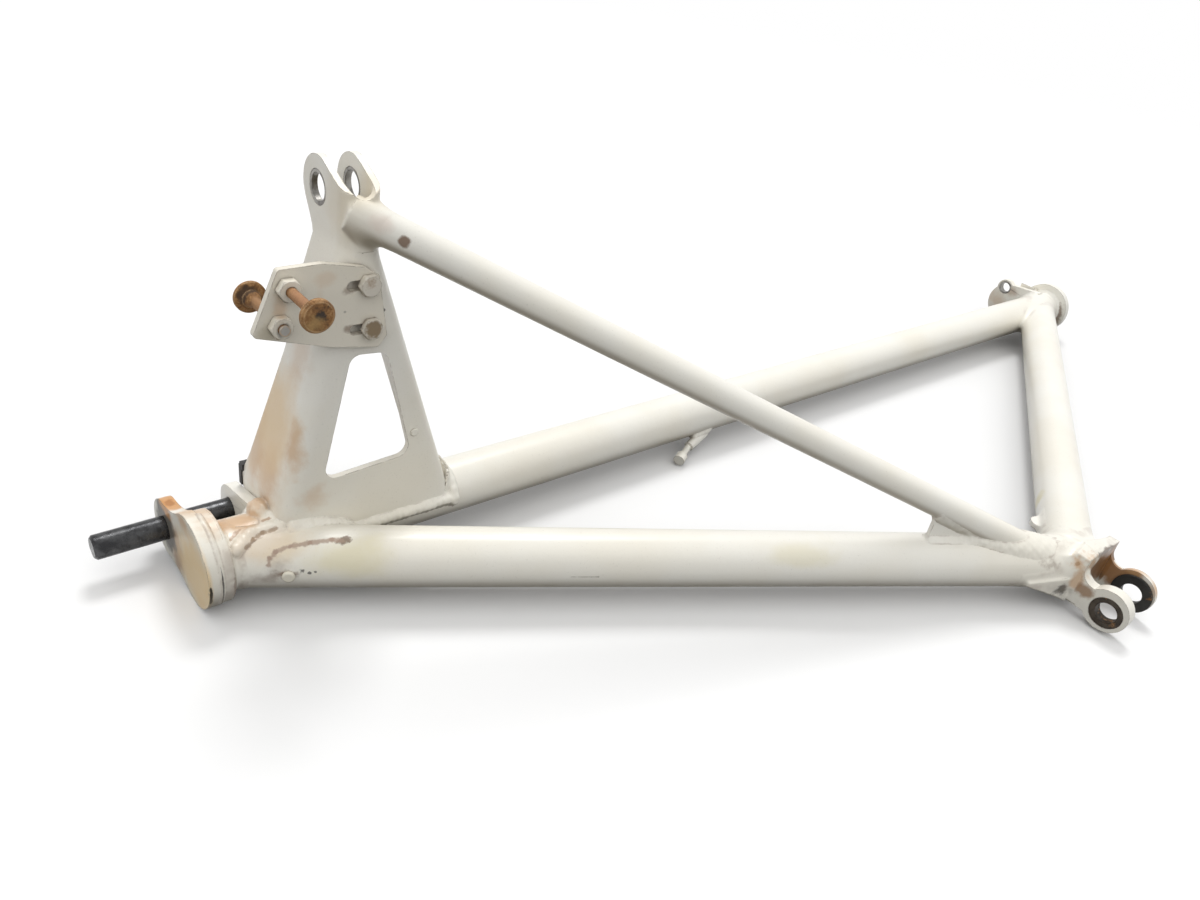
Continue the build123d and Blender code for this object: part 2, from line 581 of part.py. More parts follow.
# Small rounded tab on the cross tube
TAB_R = 6.5
TAB_ALONG = 33.5
with BuildPart() as cross_tube_tab:
    across = CROSS_RUN.cross(Vector(0, 0, -1)).normalized()
    seat = CLEVIS_NODE + CROSS_RUN.normalized() * TAB_ALONG + across * (TUBE_R - 1)
    tab_plane = Plane(origin=seat, x_dir=CROSS_RUN, z_dir=(0, 0, 1))
    extrude(disc(tab_plane, TAB_R), amount=SHEET / 2, both=True)
    extrude(disc(CROSS_TUBE, TUBE_R + WELD_GAP), amount=100, mode=Mode.SUBTRACT)
save(cross_tube_tab, "cross_tube_tab")

# Bent stud with a cap under the hinge tube
STUD_R = 3.4
STUD_NECK_R = 2.2
STUD_CAP_R = 3.9
STUD_CAP = 6.0
STUD_X = 350.0
STUD_PATH = [(0, -11.0, -12.0), (-18.0, -15.0, -16.5), (-34.0, -22.5, -19.2)]
with BuildPart() as lower_stud:
    root, elbow, tip = [Vector(STUD_X, TUBE_Y, TUBE_Z) + Vector(*step) for step in STUD_PATH]
    extrude(disc(along(root, elbow - root), STUD_R), amount=(elbow - root).length)
    bent = along(elbow, tip - elbow)
    extrude(disc(bent.offset(-STUD_NECK_R), STUD_NECK_R), amount=(tip - elbow).length)
    extrude(disc(bent.offset((tip - elbow).length - STUD_CAP), STUD_CAP_R), amount=STUD_CAP)
    extrude(disc(HINGE_TUBE, TUBE_R + WELD_GAP), amount=REAR_DISC_X, mode=Mode.SUBTRACT)
save(lower_stud, "lower_stud")

# Clip that grips the back edge of the tower's left flange, with a leg down behind it
CLIP_LIP = 0.7
CLIP_BOTTOM = 26.0
CLIP_HEIGHT = 3.8
CLIP_GRIP = 2.0
CLIP_BACK = 2.2
CLIP_LEG_WIDE = 2.4
CLIP_LEG_DEEP = 3.2
CLIP_LEG_LONG = 10.0
CLIP_X = FOOT_LEFT_X - CLIP_LIP
with BuildPart() as edge_clip:
    with Locations((CLIP_X, FLANGE_FOOT_BACK - CLIP_GRIP, CLIP_BOTTOM)):
        Box(
            SHEET + 3 * CLIP_LIP,
            CLIP_GRIP + CLIP_BACK,
            CLIP_HEIGHT,
            align=(Align.MIN, Align.MIN, Align.MIN),
        )
    add(tower_channel.part, mode=Mode.SUBTRACT)
    with Locations((CLIP_X, FLANGE_FOOT_BACK + WELD_GAP, CLIP_BOTTOM + CLIP_HEIGHT / 2)):
        Box(
            CLIP_LEG_WIDE,
            CLIP_LEG_DEEP,
            CLIP_HEIGHT / 2 + CLIP_LEG_LONG,
            align=(Align.MIN, Align.MIN, Align.MAX),
        )
save(edge_clip, "edge_clip")
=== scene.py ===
import math
import bpy
import numpy as np
from mathutils import Matrix, Vector


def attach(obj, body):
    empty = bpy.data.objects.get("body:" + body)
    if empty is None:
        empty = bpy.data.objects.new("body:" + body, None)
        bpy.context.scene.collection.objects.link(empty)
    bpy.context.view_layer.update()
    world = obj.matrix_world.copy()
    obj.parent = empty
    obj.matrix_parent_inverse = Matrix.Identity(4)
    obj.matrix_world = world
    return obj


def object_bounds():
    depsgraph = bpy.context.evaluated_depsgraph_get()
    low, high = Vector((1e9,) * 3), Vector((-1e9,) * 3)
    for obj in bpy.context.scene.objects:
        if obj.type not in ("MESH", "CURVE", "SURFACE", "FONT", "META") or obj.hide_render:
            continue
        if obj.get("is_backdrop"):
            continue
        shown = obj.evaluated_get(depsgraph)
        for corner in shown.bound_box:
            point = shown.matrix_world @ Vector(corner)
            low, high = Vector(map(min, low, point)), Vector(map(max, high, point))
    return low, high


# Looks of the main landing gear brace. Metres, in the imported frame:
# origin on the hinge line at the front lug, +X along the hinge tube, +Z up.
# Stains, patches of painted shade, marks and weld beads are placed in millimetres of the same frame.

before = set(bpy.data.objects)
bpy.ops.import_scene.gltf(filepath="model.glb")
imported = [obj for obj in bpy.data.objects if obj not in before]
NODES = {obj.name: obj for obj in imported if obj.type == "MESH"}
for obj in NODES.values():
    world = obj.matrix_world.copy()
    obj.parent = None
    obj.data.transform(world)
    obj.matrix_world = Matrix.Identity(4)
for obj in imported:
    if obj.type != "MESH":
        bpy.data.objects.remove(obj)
CAD_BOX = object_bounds()
MM = 0.001


# Node helpers

class Tree:
    """Builds a node tree: a call adds a node and sets or links its inputs."""

    def __init__(self, tree):
        self.tree = tree

    def feed(self, socket, value):
        """Links a socket to another node's output, or sets its value."""
        if isinstance(value, bpy.types.NodeSocket):
            self.tree.links.new(value, socket)
        else:
            socket.default_value = value

    def node(self, kind, inputs=None, **settings):
        made = self.tree.nodes.new(kind)
        for name, value in settings.items():
            setattr(made, name, value)
        for name, value in (inputs or {}).items():
            self.feed(made.inputs[name], value)
        return made

    def math(self, operation, a, b, clamp=False):
        return self.node("ShaderNodeMath", {0: a, 1: b}, operation=operation, use_clamp=clamp).outputs[0]

    def vector(self, operation, a, b=(0, 0, 0)):
        made = self.node("ShaderNodeVectorMath", {0: a, 1: b}, operation=operation)
        return made.outputs["Value" if operation in ("LENGTH", "DOT_PRODUCT") else "Vector"]

    def remap(self, value, low, high, to_low=0.0, to_high=1.0):
        """Eases from one value to the other while the input goes from low to high."""
        return self.node("ShaderNodeMapRange", {"Value": value, "From Min": low, "From Max": high,
                                                "To Min": to_low, "To Max": to_high},
                         interpolation_type="SMOOTHSTEP").outputs["Result"]

    def noise(self, vector, scale, detail, roughness):
        return self.node("ShaderNodeTexNoise", {"Vector": vector, "Scale": scale, "Detail": detail,
                                                "Roughness": roughness}).outputs["Fac"]

    def patches(self, vector, scale, detail, roughness, low, high):
        """Patches of noise as a mask: 0 below the low value, 1 above the high one."""
        return self.remap(self.noise(vector, scale, detail, roughness), low, high)

    def weighed(self, a, b, share):
        """Sum of two values, the first with a share and the second with the rest."""
        return self.math("ADD", self.math("MULTIPLY", a, share), self.math("MULTIPLY", b, 1 - share))

    def mix(self, mask, a, b):
        return self.node("ShaderNodeMix", {0: mask, 6: a, 7: b}, data_type="RGBA").outputs[2]

    def lay(self, colour, tint, mask, strength):
        """Lays a tint over a colour where a mask is set."""
        return self.mix(self.math("MULTIPLY", mask, strength), colour, tint)

    def use(self, shared, **inputs):
        """A shared group with its inputs; gives its outputs."""
        return self.node("ShaderNodeGroup", inputs, node_tree=shared).outputs


FLOAT, VECTOR, COLOUR = "NodeSocketFloat", "NodeSocketVector", "NodeSocketColor"


def group(name, inputs, outputs):
    """An empty shader group: gives its tree, what comes in and what goes out."""
    tree = bpy.data.node_groups.new(name, "ShaderNodeTree")
    for way, sockets in (("INPUT", inputs), ("OUTPUT", outputs)):
        for label, kind in sockets.items():
            tree.interface.new_socket(label, in_out=way, socket_type=kind)
    return Tree(tree), tree.nodes.new("NodeGroupInput").outputs, tree.nodes.new("NodeGroupOutput").inputs


def ragged(t, given):
    """Unevenness of a mark's rim, either side of zero."""
    rough = t.math("SUBTRACT", t.noise(given["Vector"], given["Scale"], 4.0, 0.6), 0.5)
    return t.math("MULTIPLY", rough, given["Ragged"])


def make_blotch_group():
    """Mask of one blotch, used for stains and for patches of painted shade: a stretched ball round a point,
    with a ragged rim.
    """
    t, given, gives = group("blotch", {"Vector": VECTOR, "Centre": VECTOR, "Size": VECTOR, "Ragged": FLOAT,
                                       "Scale": FLOAT, "Soft": FLOAT}, {"Mask": FLOAT})
    away = t.vector("SUBTRACT", given["Vector"], given["Centre"])
    distance = t.vector("LENGTH", t.vector("DIVIDE", away, given["Size"]))
    inner = t.math("SUBTRACT", 1.0, given["Soft"])
    t.feed(gives["Mask"], t.remap(t.math("ADD", distance, ragged(t, given)), inner, 1.0, 1.0, 0.0))
    return t.tree


def make_stroke_group():
    """Mask of a thin mark along a straight line, from a start along its way."""
    t, given, gives = group("stroke", {"Vector": VECTOR, "Start": VECTOR, "Way": VECTOR, "Radius": FLOAT,
                                       "Ragged": FLOAT, "Scale": FLOAT}, {"Mask": FLOAT})
    way = given["Way"]
    off = t.vector("SUBTRACT", given["Vector"], given["Start"])
    along = t.math("DIVIDE", t.vector("DOT_PRODUCT", off, way), t.vector("DOT_PRODUCT", way, way), clamp=True)
    distance = t.vector("LENGTH", t.vector("SUBTRACT", off, t.vector("MULTIPLY", way, along)))
    bent = t.math("ADD", t.math("DIVIDE", distance, given["Radius"]), ragged(t, given))
    t.feed(gives["Mask"], t.remap(bent, 1.0, 0.35))
    return t.tree


def make_edge_group():
    """Mask of outer edges, where the paint has worn."""
    t, given, gives = group("edge_wear", {"Vector": VECTOR, "Width": FLOAT, "Amount": FLOAT}, {"Mask": FLOAT})
    rounded = t.node("ShaderNodeBevel", {"Radius": given["Width"]}, samples=4).outputs["Normal"]
    plain = t.node("ShaderNodeNewGeometry").outputs["Normal"]
    worn = t.remap(t.vector("DOT_PRODUCT", rounded, plain), 0.995, 0.93)
    patchy = t.patches(given["Vector"], 180.0, 4.0, 0.65, 0.62, 0.45)
    t.feed(gives["Mask"], t.math("MULTIPLY", t.math("MULTIPLY", worn, patchy), given["Amount"], clamp=True))
    return t.tree


def make_dirt_and_shade_group():
    """Mask of corners and crevices, from ambient occlusion: dirt that gathers there, with painted shade."""
    t, given, gives = group("grime_and_shade", {"Vector": VECTOR, "Reach": FLOAT, "Amount": FLOAT}, {"Mask": FLOAT})
    hidden = t.node("ShaderNodeAmbientOcclusion", {"Distance": given["Reach"]}, samples=6).outputs["AO"]
    dark = t.remap(hidden, 0.75, 0.3)
    patchy = t.patches(given["Vector"], 90.0, 4.0, 0.6, 0.3, 0.6)
    t.feed(gives["Mask"], t.math("MULTIPLY", t.math("MULTIPLY", dark, patchy), given["Amount"], clamp=True))
    return t.tree


def make_rust_group():
    """Colour and height of rusted steel."""
    t, given, gives = group("rust", {"Vector": VECTOR, "Scale": FLOAT}, {"Colour": COLOUR, "Height": FLOAT})
    coarse = t.noise(given["Vector"], given["Scale"], 5.0, 0.65)
    fine = t.noise(given["Vector"], t.math("MULTIPLY", given["Scale"], 4.0), 4.0, 0.7)
    ramp = t.node("ShaderNodeValToRGB", {"Fac": t.weighed(coarse, fine, 0.7)})
    stops = ramp.color_ramp.elements
    stops[0].position, stops[0].color = 0.30, (0.075, 0.036, 0.014, 1)
    stops[1].position, stops[1].color = 0.70, (0.52, 0.30, 0.13, 1)
    stops.new(0.5).color = (0.27, 0.130, 0.042, 1)
    t.feed(gives["Colour"], ramp.outputs["Color"])
    t.feed(gives["Height"], fine)
    return t.tree


BLOTCH, STROKE, EDGE = make_blotch_group(), make_stroke_group(), make_edge_group()
DIRT_AND_SHADE_GROUP, RUST = make_dirt_and_shade_group(), make_rust_group()


def material(name):
    """A new material: gives it, its tree, its shader and the object coordinates."""
    made = bpy.data.materials.new(name)
    made.use_nodes = True
    t = Tree(made.node_tree)
    shader = made.node_tree.nodes["Principled BSDF"]
    where = t.node("ShaderNodeTexCoord").outputs["Object"]
    return made, t, shader, where


def finish_material(t, shader, colour, roughness, height=None, depth=0.0002, strength=0.3):
    t.feed(shader.inputs["Base Color"], colour)
    t.feed(shader.inputs["Roughness"], roughness)
    if height is not None:
        bump = t.node("ShaderNodeBump", {"Height": height, "Distance": depth, "Strength": strength})
        t.feed(shader.inputs["Normal"], bump.outputs["Normal"])


# Colours

CREAM = (0.90, 0.88, 0.81, 1)
CREAM_DARK = (0.84, 0.79, 0.67, 1)
TAN = (0.60, 0.36, 0.17, 1)
YELLOW = (0.74, 0.66, 0.36, 1)
BROWN = (0.16, 0.085, 0.04, 1)
BLACK = (0.02, 0.017, 0.013, 1)
PAINT_SPECK = (0.46, 0.43, 0.37, 1)
UNDERSIDE_SHADE = (0.27, 0.22, 0.14, 1)
WELD_TOE_DIRT_AND_SHADE = (0.30, 0.21, 0.16, 1)
CORNER_DIRT_AND_SHADE = (0.20, 0.15, 0.10, 1)
WORN_PAINT = (0.22, 0.17, 0.12, 1)
METAL_DIRT_AND_SHADE = (0.05, 0.035, 0.022, 1)
RUST_DIRT_AND_SHADE = (0.035, 0.020, 0.012, 1)
WORN_RUST = (0.66, 0.44, 0.24, 1)
RUBBER_BLACK = (0.016, 0.016, 0.017, 1)
RUBBER_DUST = (0.10, 0.095, 0.085, 1)

# Stains on the paint, and some patches of painted shade: centre and half sizes in millimetres, colour,
# strength, raggedness of the rim, scale of the rim's noise, softness
STAINS_AND_SHADE = [
    ((28, -56, 17), (26, 16, 12), TAN, 0.30, 1.2, 60, 0.8),
    ((8, -30, 22), (14, 22, 9), TAN, 0.70, 1.0, 90, 0.6),
    ((0, -17, -5), (3, 13, 24), (0.36, 0.19, 0.08, 1), 0.75, 1.1, 110, 0.7),
    ((0, -44, 0), (3, 34, 30), (0.86, 0.64, 0.34, 1), 0.85, 0.6, 70, 0.6),
    ((80, -46, 182), (26, 18, 30), (0.74, 0.64, 0.46, 1), 0.60, 0.8, 40, 0.8),
    ((86, -56, 158), (5, 6, 5), TAN, 0.45, 1.6, 160, 0.8),
    ((45, -46, 100), (9, 10, 46), (0.80, 0.70, 0.48, 1), 0.55, 0.8, 40, 0.8),
    ((22, -36, 20), (15, 13, 7), TAN, 0.80, 1.2, 90, 0.7),
    ((36, -31, 23), (8, 9, 7), TAN, 0.70, 1.2, 140, 0.7),
    ((44, -30, 34), (7, 20, 30), TAN, 0.75, 1.1, 60, 0.8),
    ((40, -60, 14), (26, 12, 9), (0.78, 0.62, 0.38, 1), 0.45, 1.4, 90, 0.9),
    ((43, -14, 50), (9, 10, 44), TAN, 0.60, 1.2, 60, 0.8),
    ((47, -26, 66), (12, 30, 66), (0.80, 0.57, 0.30, 1), 0.75, 0.8, 40, 0.7),
    ((48, -46, 60), (7, 8, 26), TAN, 0.60, 1.5, 80, 0.8),
    ((57, -34, 106), (6, 14, 24), TAN, 0.35, 1.3, 80, 0.8),
    ((56, -50, 33), (12, 5, 12), TAN, 0.40, 1.3, 90, 0.8),
    ((60, -80, 12), (36, 18, 14), YELLOW, 0.50, 1.2, 50, 0.9),
    ((275, -196, 14.6), (34, 20, 7), YELLOW, 0.32, 1.2, 50, 0.8),
    ((487, -229, 5), (9, 10, 8), YELLOW, 0.65, 1.2, 90, 0.8),
    ((62, -71.4, 18.1), (5, 3, 2), BROWN, 0.80, 2.6, 300, 0.5),
    ((30, -67, 9), (9, 8, 9), BROWN, 0.35, 1.6, 110, 0.9),
    # Painted shadow round the tube plug and on the front tube next to it (this entry and the next).
    ((33.5, -68, 4.4), (9, 6, 3.6), BROWN, 0.85, 1.6, 200, 0.7),
    ((24, -64, 1), (14, 9, 5), BROWN, 0.55, 1.4, 110, 0.9),
    ((40.8, -70.5, 6.7), (1.2, 2.0, 1.4), BLACK, 0.80, 2.4, 500, 0.4),
    ((43.8, -72.2, 5.6), (1.0, 1.6, 0.9), BLACK, 0.80, 2.4, 500, 0.4),
    ((46.2, -73.4, 6.2), (0.8, 1.4, 0.7), BLACK, 0.80, 2.4, 500, 0.4),
    # Painted shade along the lower side of the front tube.
    ((240, -168, -8), (230, 130, 6), (0.50, 0.42, 0.28, 1), 0.40, 0.8, 20, 0.9),
    ((6.5, -59, -2), (0.55, 7, 17), BLACK, 0.90, 1.4, 200, 0.3),
    ((0.8, -59, 0), (0.9, 3, 9), BLACK, 0.95, 1.4, 200, 0.3),
    ((12.7, -58, 0), (1.2, 6, 12), BROWN, 0.60, 1.6, 200, 0.5),
    ((91.2, -66.3, 167.4), (3.2, 3.4, 3.2), BROWN, 0.92, 1.2, 260, 0.5),
    ((82, -60, 174), (8, 7, 6), (0.70, 0.50, 0.42, 1), 0.30, 1.2, 120, 0.8),
    ((431, -284, 14), (11, 9, 8), TAN, 0.75, 2.0, 150, 0.7),
    ((436, -287, 12), (5, 4, 10), (0.50, 0.28, 0.12, 1), 0.70, 2.2, 240, 0.7),
    ((428, -287, 4), (9, 5, 9), TAN, 0.70, 1.4, 130, 0.7),
    ((412, -273, 11), (9, 6, 3), BROWN, 0.35, 2.4, 200, 0.6),
    ((420, -285, -5), (7, 6, 6), BLACK, 0.85, 1.4, 180, 0.6),
    ((427.5, -292, -1), (1.6, 9, 6), (0.30, 0.16, 0.07, 1), 0.85, 1.2, 160, 0.6),
    # Painted shade under the front tube near the clevis.
    ((398, -262, -9), (22, 12, 5), BROWN, 0.45, 1.4, 90, 0.9),
    ((449, -290, 4), (16, 2.6, 19), (0.17, 0.085, 0.035, 1), 1.0, 0.4, 160, 0.25),
    ((461, -289.6, 5), (13, 2.2, 18), (0.20, 0.10, 0.04, 1), 1.0, 0.4, 160, 0.25),
    ((449, -288.7, 18), (15, 3, 3), (0.10, 0.055, 0.03, 1), 0.80, 1.6, 200, 0.5),
    ((463.5, -297, 5), (3.2, 15, 17), (0.34, 0.16, 0.05, 1), 0.95, 0.5, 120, 0.3),
    ((466, -303, 8), (4, 14, 5), TAN, 0.70, 1.0, 120, 0.7),
    ((466, -318, 0), (4, 6, 10), TAN, 0.80, 1.0, 120, 0.7),
    ((90.5, -51.9, 129.2), (0.9, 1, 1.0), BLACK, 0.90, 1.0, 400, 0.4),
    ((842, 4, -2), (3, 14, 14), TAN, 0.40, 1.2, 90, 0.8),
    ((842, -8, 13), (4, 10, 8), (0.36, 0.22, 0.12, 1), 0.55, 1.2, 90, 0.8),
    ((863.2, -53, 2), (1.3, 6, 17), BROWN, 0.75, 1.3, 160, 0.5),
]

# Thin marks on the paint, dirt with painted shade where they follow weld toes: points in millimetres, half
# width, colour, strength
MARKS = [
    # Dirt with painted shade along the weld toes at the front node (the next four marks).
    ([(16.1, -46.2, 18.1), (23.5, -41.7, 20.4), (32.5, -40.5, 20.4), (37.8, -41.7, 20.0)], 1.3,
     (0.42, 0.27, 0.17, 1), 0.80),
    ([(21.0, -54.0, 16.6), (25.0, -51.5, 18.4), (30.0, -50.3, 19.8), (37.0, -50.0, 20.0)], 1.4,
     (0.36, 0.25, 0.16, 1), 0.80),
    ([(27.5, -62.2, 9.7), (29.0, -61.4, 12.6), (32.1, -61.0, 15.0), (38.7, -62.1, 17.0), (47.6, -65.0, 17.8),
      (57.3, -68.5, 18.4), (61.7, -71.4, 18.1)], 1.7, (0.40, 0.28, 0.21, 1), 0.80),
    ([(12.9, -40.0, 22.6), (12.9, -50.0, 17.4), (12.9, -55.0, 8.0)], 0.9, (0.35, 0.20, 0.12, 1), 0.7),
    ([(421.0, -283.0, 13.5), (427.4, -284.5, 14.5), (433.0, -283.0, 16.5), (436.0, -283.0, 18.0)], 1.5,
     (0.42, 0.24, 0.12, 1), 0.75),
    ([(158.0, -136.0, 3.3), (171.0, -142.8, 3.3)], 0.5, (0.30, 0.26, 0.20, 1), 0.6),
    ([(404.6, -272.6, 9.0), (405.4, -273.0, 9.0)], 0.8, (0.10, 0.08, 0.06, 1), 0.8),
]

MARK_RAGGED, MARK_SCALE = 2.2, 330.0


def metres(point):
    return [value * MM for value in point]


def stained_and_shaded(t, where, colour, stains_and_shade):
    """Lays stains and patches of painted shade over a colour, each in its own tint."""
    for centre, size, tint, strength, rim, scale, soft in stains_and_shade:
        mask = t.use(BLOTCH, Vector=where, Centre=metres(centre), Size=metres(size), Ragged=rim,
                     Scale=float(scale), Soft=soft)["Mask"]
        colour = t.lay(colour, tint, mask, strength)
    return colour


def marked(t, where, colour, marks):
    """Lays thin marks over a colour, each along its points."""
    for points, width, tint, strength in marks:
        for start, end in zip(points, points[1:]):
            way = [b - a for a, b in zip(start, end)]
            mask = t.use(STROKE, Vector=where, Start=metres(start), Way=metres(way), Radius=width * MM,
                         Ragged=MARK_RAGGED, Scale=MARK_SCALE)["Mask"]
            colour = t.lay(colour, tint, mask, strength)
    return colour


def make_paint(name, base, stains_and_shade, marks=(), coat=0.25, specular=0.5):
    """Cream paint over steel: yellowing, specks, stains and patches of painted shade, dirt with painted shade
    at welds and in corners, painted shade on undersides, worn edges.
    """
    made, t, shader, where = material(name)
    colour = t.lay(base, CREAM_DARK, t.patches(where, 14.0, 3.0, 0.55, 0.35, 0.68), 0.55)
    colour = t.lay(colour, PAINT_SPECK, t.patches(where, 900.0, 3.0, 0.7, 0.60, 0.75), 0.30)
    colour = stained_and_shaded(t, where, colour, stains_and_shade)
    colour = marked(t, where, colour, marks)
    normal = t.node("ShaderNodeNewGeometry").outputs["Normal"]
    upward = t.node("ShaderNodeSeparateXYZ", {"Vector": normal}).outputs["Z"]
    # Painted shade: faces that point down are darkened towards a brown shade tint.
    colour = t.mix(t.remap(upward, -0.05, -0.65, 0.0, 0.75), colour, UNDERSIDE_SHADE)
    # Dirt and painted shade in a line along the toes of the weld beads.
    toe = t.node("ShaderNodeAttribute", attribute_name="toe").outputs["Fac"]
    toe = t.math("MULTIPLY", toe, t.patches(where, 70.0, 3.0, 0.6, 0.40, 0.62))
    colour = t.lay(colour, WELD_TOE_DIRT_AND_SHADE, toe, 0.55)
    # Dirt with painted shade: corners and crevices found by ambient occlusion are darkened.
    colour = t.mix(t.use(DIRT_AND_SHADE_GROUP, Vector=where, Reach=0.006, Amount=0.6)["Mask"], colour, CORNER_DIRT_AND_SHADE)
    colour = t.mix(t.use(EDGE, Vector=where, Width=0.0007, Amount=0.8)["Mask"], colour, WORN_PAINT)
    height = t.weighed(t.noise(where, 320.0, 2.0, 0.5), t.noise(where, 1500.0, 2.0, 0.6), 0.7)
    roughness = t.remap(t.noise(where, 60.0, 3.0, 0.6), 0.3, 0.7, 0.30, 0.46)
    finish_material(t, shader, colour, roughness, height, 0.0003, 0.35)
    shader.inputs["Coat Weight"].default_value = coat
    shader.inputs["Coat Roughness"].default_value = 0.22
    shader.inputs["Specular IOR Level"].default_value = specular
    return made


def make_metal(name, base, dark, roughness, metallic=1.0, grain=700.0, grime_and_shade=0.4, rust=0.0):
    """Bare or plated steel with darker patches, grain, some rust, and dirt with painted shade in corners."""
    made, t, shader, where = material(name)
    colour = t.mix(t.patches(where, 160.0, 4.0, 0.6, 0.38, 0.66), base, dark)
    rough = t.remap(t.noise(where, 260.0, 4.0, 0.6), 0.3, 0.7, roughness - 0.07, roughness + 0.14)
    fine = t.noise(where, grain, 4.0, 0.65)
    if rust > 0:
        red = t.use(RUST, Vector=where, Scale=350.0)["Colour"]
        rusty = t.patches(where, 120.0, 4.0, 0.6, 0.62 - 0.3 * rust, 0.72 - 0.3 * rust)
        colour = t.mix(rusty, colour, red)
        rough = t.math("MAXIMUM", rough, t.math("MULTIPLY", rusty, 0.75))
        metallic = t.math("MULTIPLY", t.math("SUBTRACT", 1.0, rusty), metallic)
    t.feed(shader.inputs["Metallic"], metallic)
    # Dirt with painted shade: corners and crevices found by ambient occlusion are darkened.
    colour = t.mix(t.use(DIRT_AND_SHADE_GROUP, Vector=where, Reach=0.004, Amount=grime_and_shade)["Mask"], colour, METAL_DIRT_AND_SHADE)
    finish_material(t, shader, colour, rough, fine, 0.0002, 0.25)
    return made


def make_rust(name, stains_and_shade):
    """Rusted steel of the stop bolts, with brighter rims, dark spots, and dirt with painted shade in corners.
    """
    made, t, shader, where = material(name)
    red = t.use(RUST, Vector=where, Scale=300.0)
    colour = stained_and_shaded(t, where, red["Colour"], stains_and_shade)
    # Dirt with painted shade: corners and crevices found by ambient occlusion are darkened.
    colour = t.mix(t.use(DIRT_AND_SHADE_GROUP, Vector=where, Reach=0.006, Amount=1.2)["Mask"], colour, RUST_DIRT_AND_SHADE)
    colour = t.mix(t.use(EDGE, Vector=where, Width=0.0010, Amount=1.0)["Mask"], colour, WORN_RUST)
    finish_material(t, shader, colour, 0.72, red["Height"], 0.0004, 0.6)
    shader.inputs["Metallic"].default_value = 0.10
    return made


def make_rubber(name):
    """Dull black rubber with a little dust."""
    made, t, shader, where = material(name)
    dust = t.remap(t.noise(where, 300.0, 4.0, 0.6), 0.5, 0.75, 0.0, 0.4)
    colour = t.mix(dust, RUBBER_BLACK, RUBBER_DUST)
    finish_material(t, shader, colour, 0.62, t.noise(where, 600.0, 3.0, 0.6))
    return made


PAINT = make_paint("cream_paint", CREAM, STAINS_AND_SHADE, MARKS)
LUG_PAINT = make_paint("worn_lug_paint", CREAM, STAINS_AND_SHADE + [
    ((0, -1, 3), (1.8, 17, 17), (0.11, 0.10, 0.085, 1), 0.95, 0.9, 110, 0.4),
    ((4, -3, 14), (7, 17, 6), (0.64, 0.33, 0.13, 1), 0.95, 0.9, 110, 0.5),
    ((3, -1, 14), (3, 5, 4), (0.40, 0.17, 0.06, 1), 0.70, 1.8, 260, 0.5)], coat=0.0, specular=0.15)
HEX_PAINT = make_paint("worn_bolt_paint", (0.66, 0.62, 0.54, 1), [
    ((81.9, -60, 123.9), (6.2, 2.4, 6.2), (0.20, 0.13, 0.055, 1), 0.95, 0.8, 320, 0.3),
    ((79.5, -60, 146.6), (5, 2.4, 4), (0.34, 0.22, 0.12, 1), 0.75, 1.5, 700, 0.8),
    ((79, -55.6, 136), (12, 1.6, 20), BROWN, 0.60, 1.4, 300, 0.7)])
PLUG_PAINT = make_paint("plug_paint", (0.78, 0.74, 0.62, 1), [])
BRACKET_PAINT = make_paint("bracket_paint", (0.81, 0.765, 0.66, 1), [
    ((39, -57, 140), (5, 6, 10), TAN, 0.45, 1.4, 120, 0.8),
    ((60, -57, 150), (8, 6, 5), TAN, 0.25, 1.4, 120, 0.8),
    ((57, -57, 138), (3.4, 4, 16), TAN, 0.30, 1.0, 60, 0.9),
    ((34, -56, 128), (7, 3, 8), (0.40, 0.34, 0.20, 1), 0.50, 1.2, 160, 0.8),
    ((39, -59.7, 130.5), (3.6, 2, 4.5), (0.16, 0.15, 0.12, 1), 0.70, 1.4, 260, 0.6),
    ((42, -56, 146), (7, 2, 7), (0.42, 0.33, 0.20, 1), 0.50, 1.4, 160, 0.8),
    ((69.2, -55.4, 133.1), (0.8, 1, 0.8), BLACK, 0.40, 1.0, 400, 0.5),
    ((70.5, -55.6, 143), (4, 2, 3), BROWN, 0.55, 1.6, 260, 0.7),
    ((72, -55.6, 124.6), (4, 2, 3), BROWN, 0.70, 1.6, 260, 0.7)])
STEEL_DARK = make_metal("dark_polished_steel", (0.085, 0.086, 0.088, 1), (0.040, 0.040, 0.042, 1), 0.26,
                        grain=900.0, grime_and_shade=0.2)
STEEL_BARE = make_metal("dirty_bush_steel", (0.060, 0.046, 0.032, 1), (0.025, 0.018, 0.012, 1), 0.50,
                        metallic=0.4, grime_and_shade=0.9, rust=0.12)
BLACK_RING = make_metal("blackened_steel", (0.030, 0.029, 0.026, 1), (0.020, 0.018, 0.015, 1), 0.48,
                        metallic=0.3, grime_and_shade=0.6, rust=0.05)
STEEL_BUSH = make_metal("bush_steel", (0.30, 0.29, 0.27, 1), (0.12, 0.11, 0.10, 1), 0.34, grime_and_shade=0.8)
STEEL_HEX = make_metal("plated_hexagon", (0.44, 0.41, 0.35, 1), (0.20, 0.16, 0.11, 1), 0.42, grime_and_shade=0.8,
                       rust=0.35)
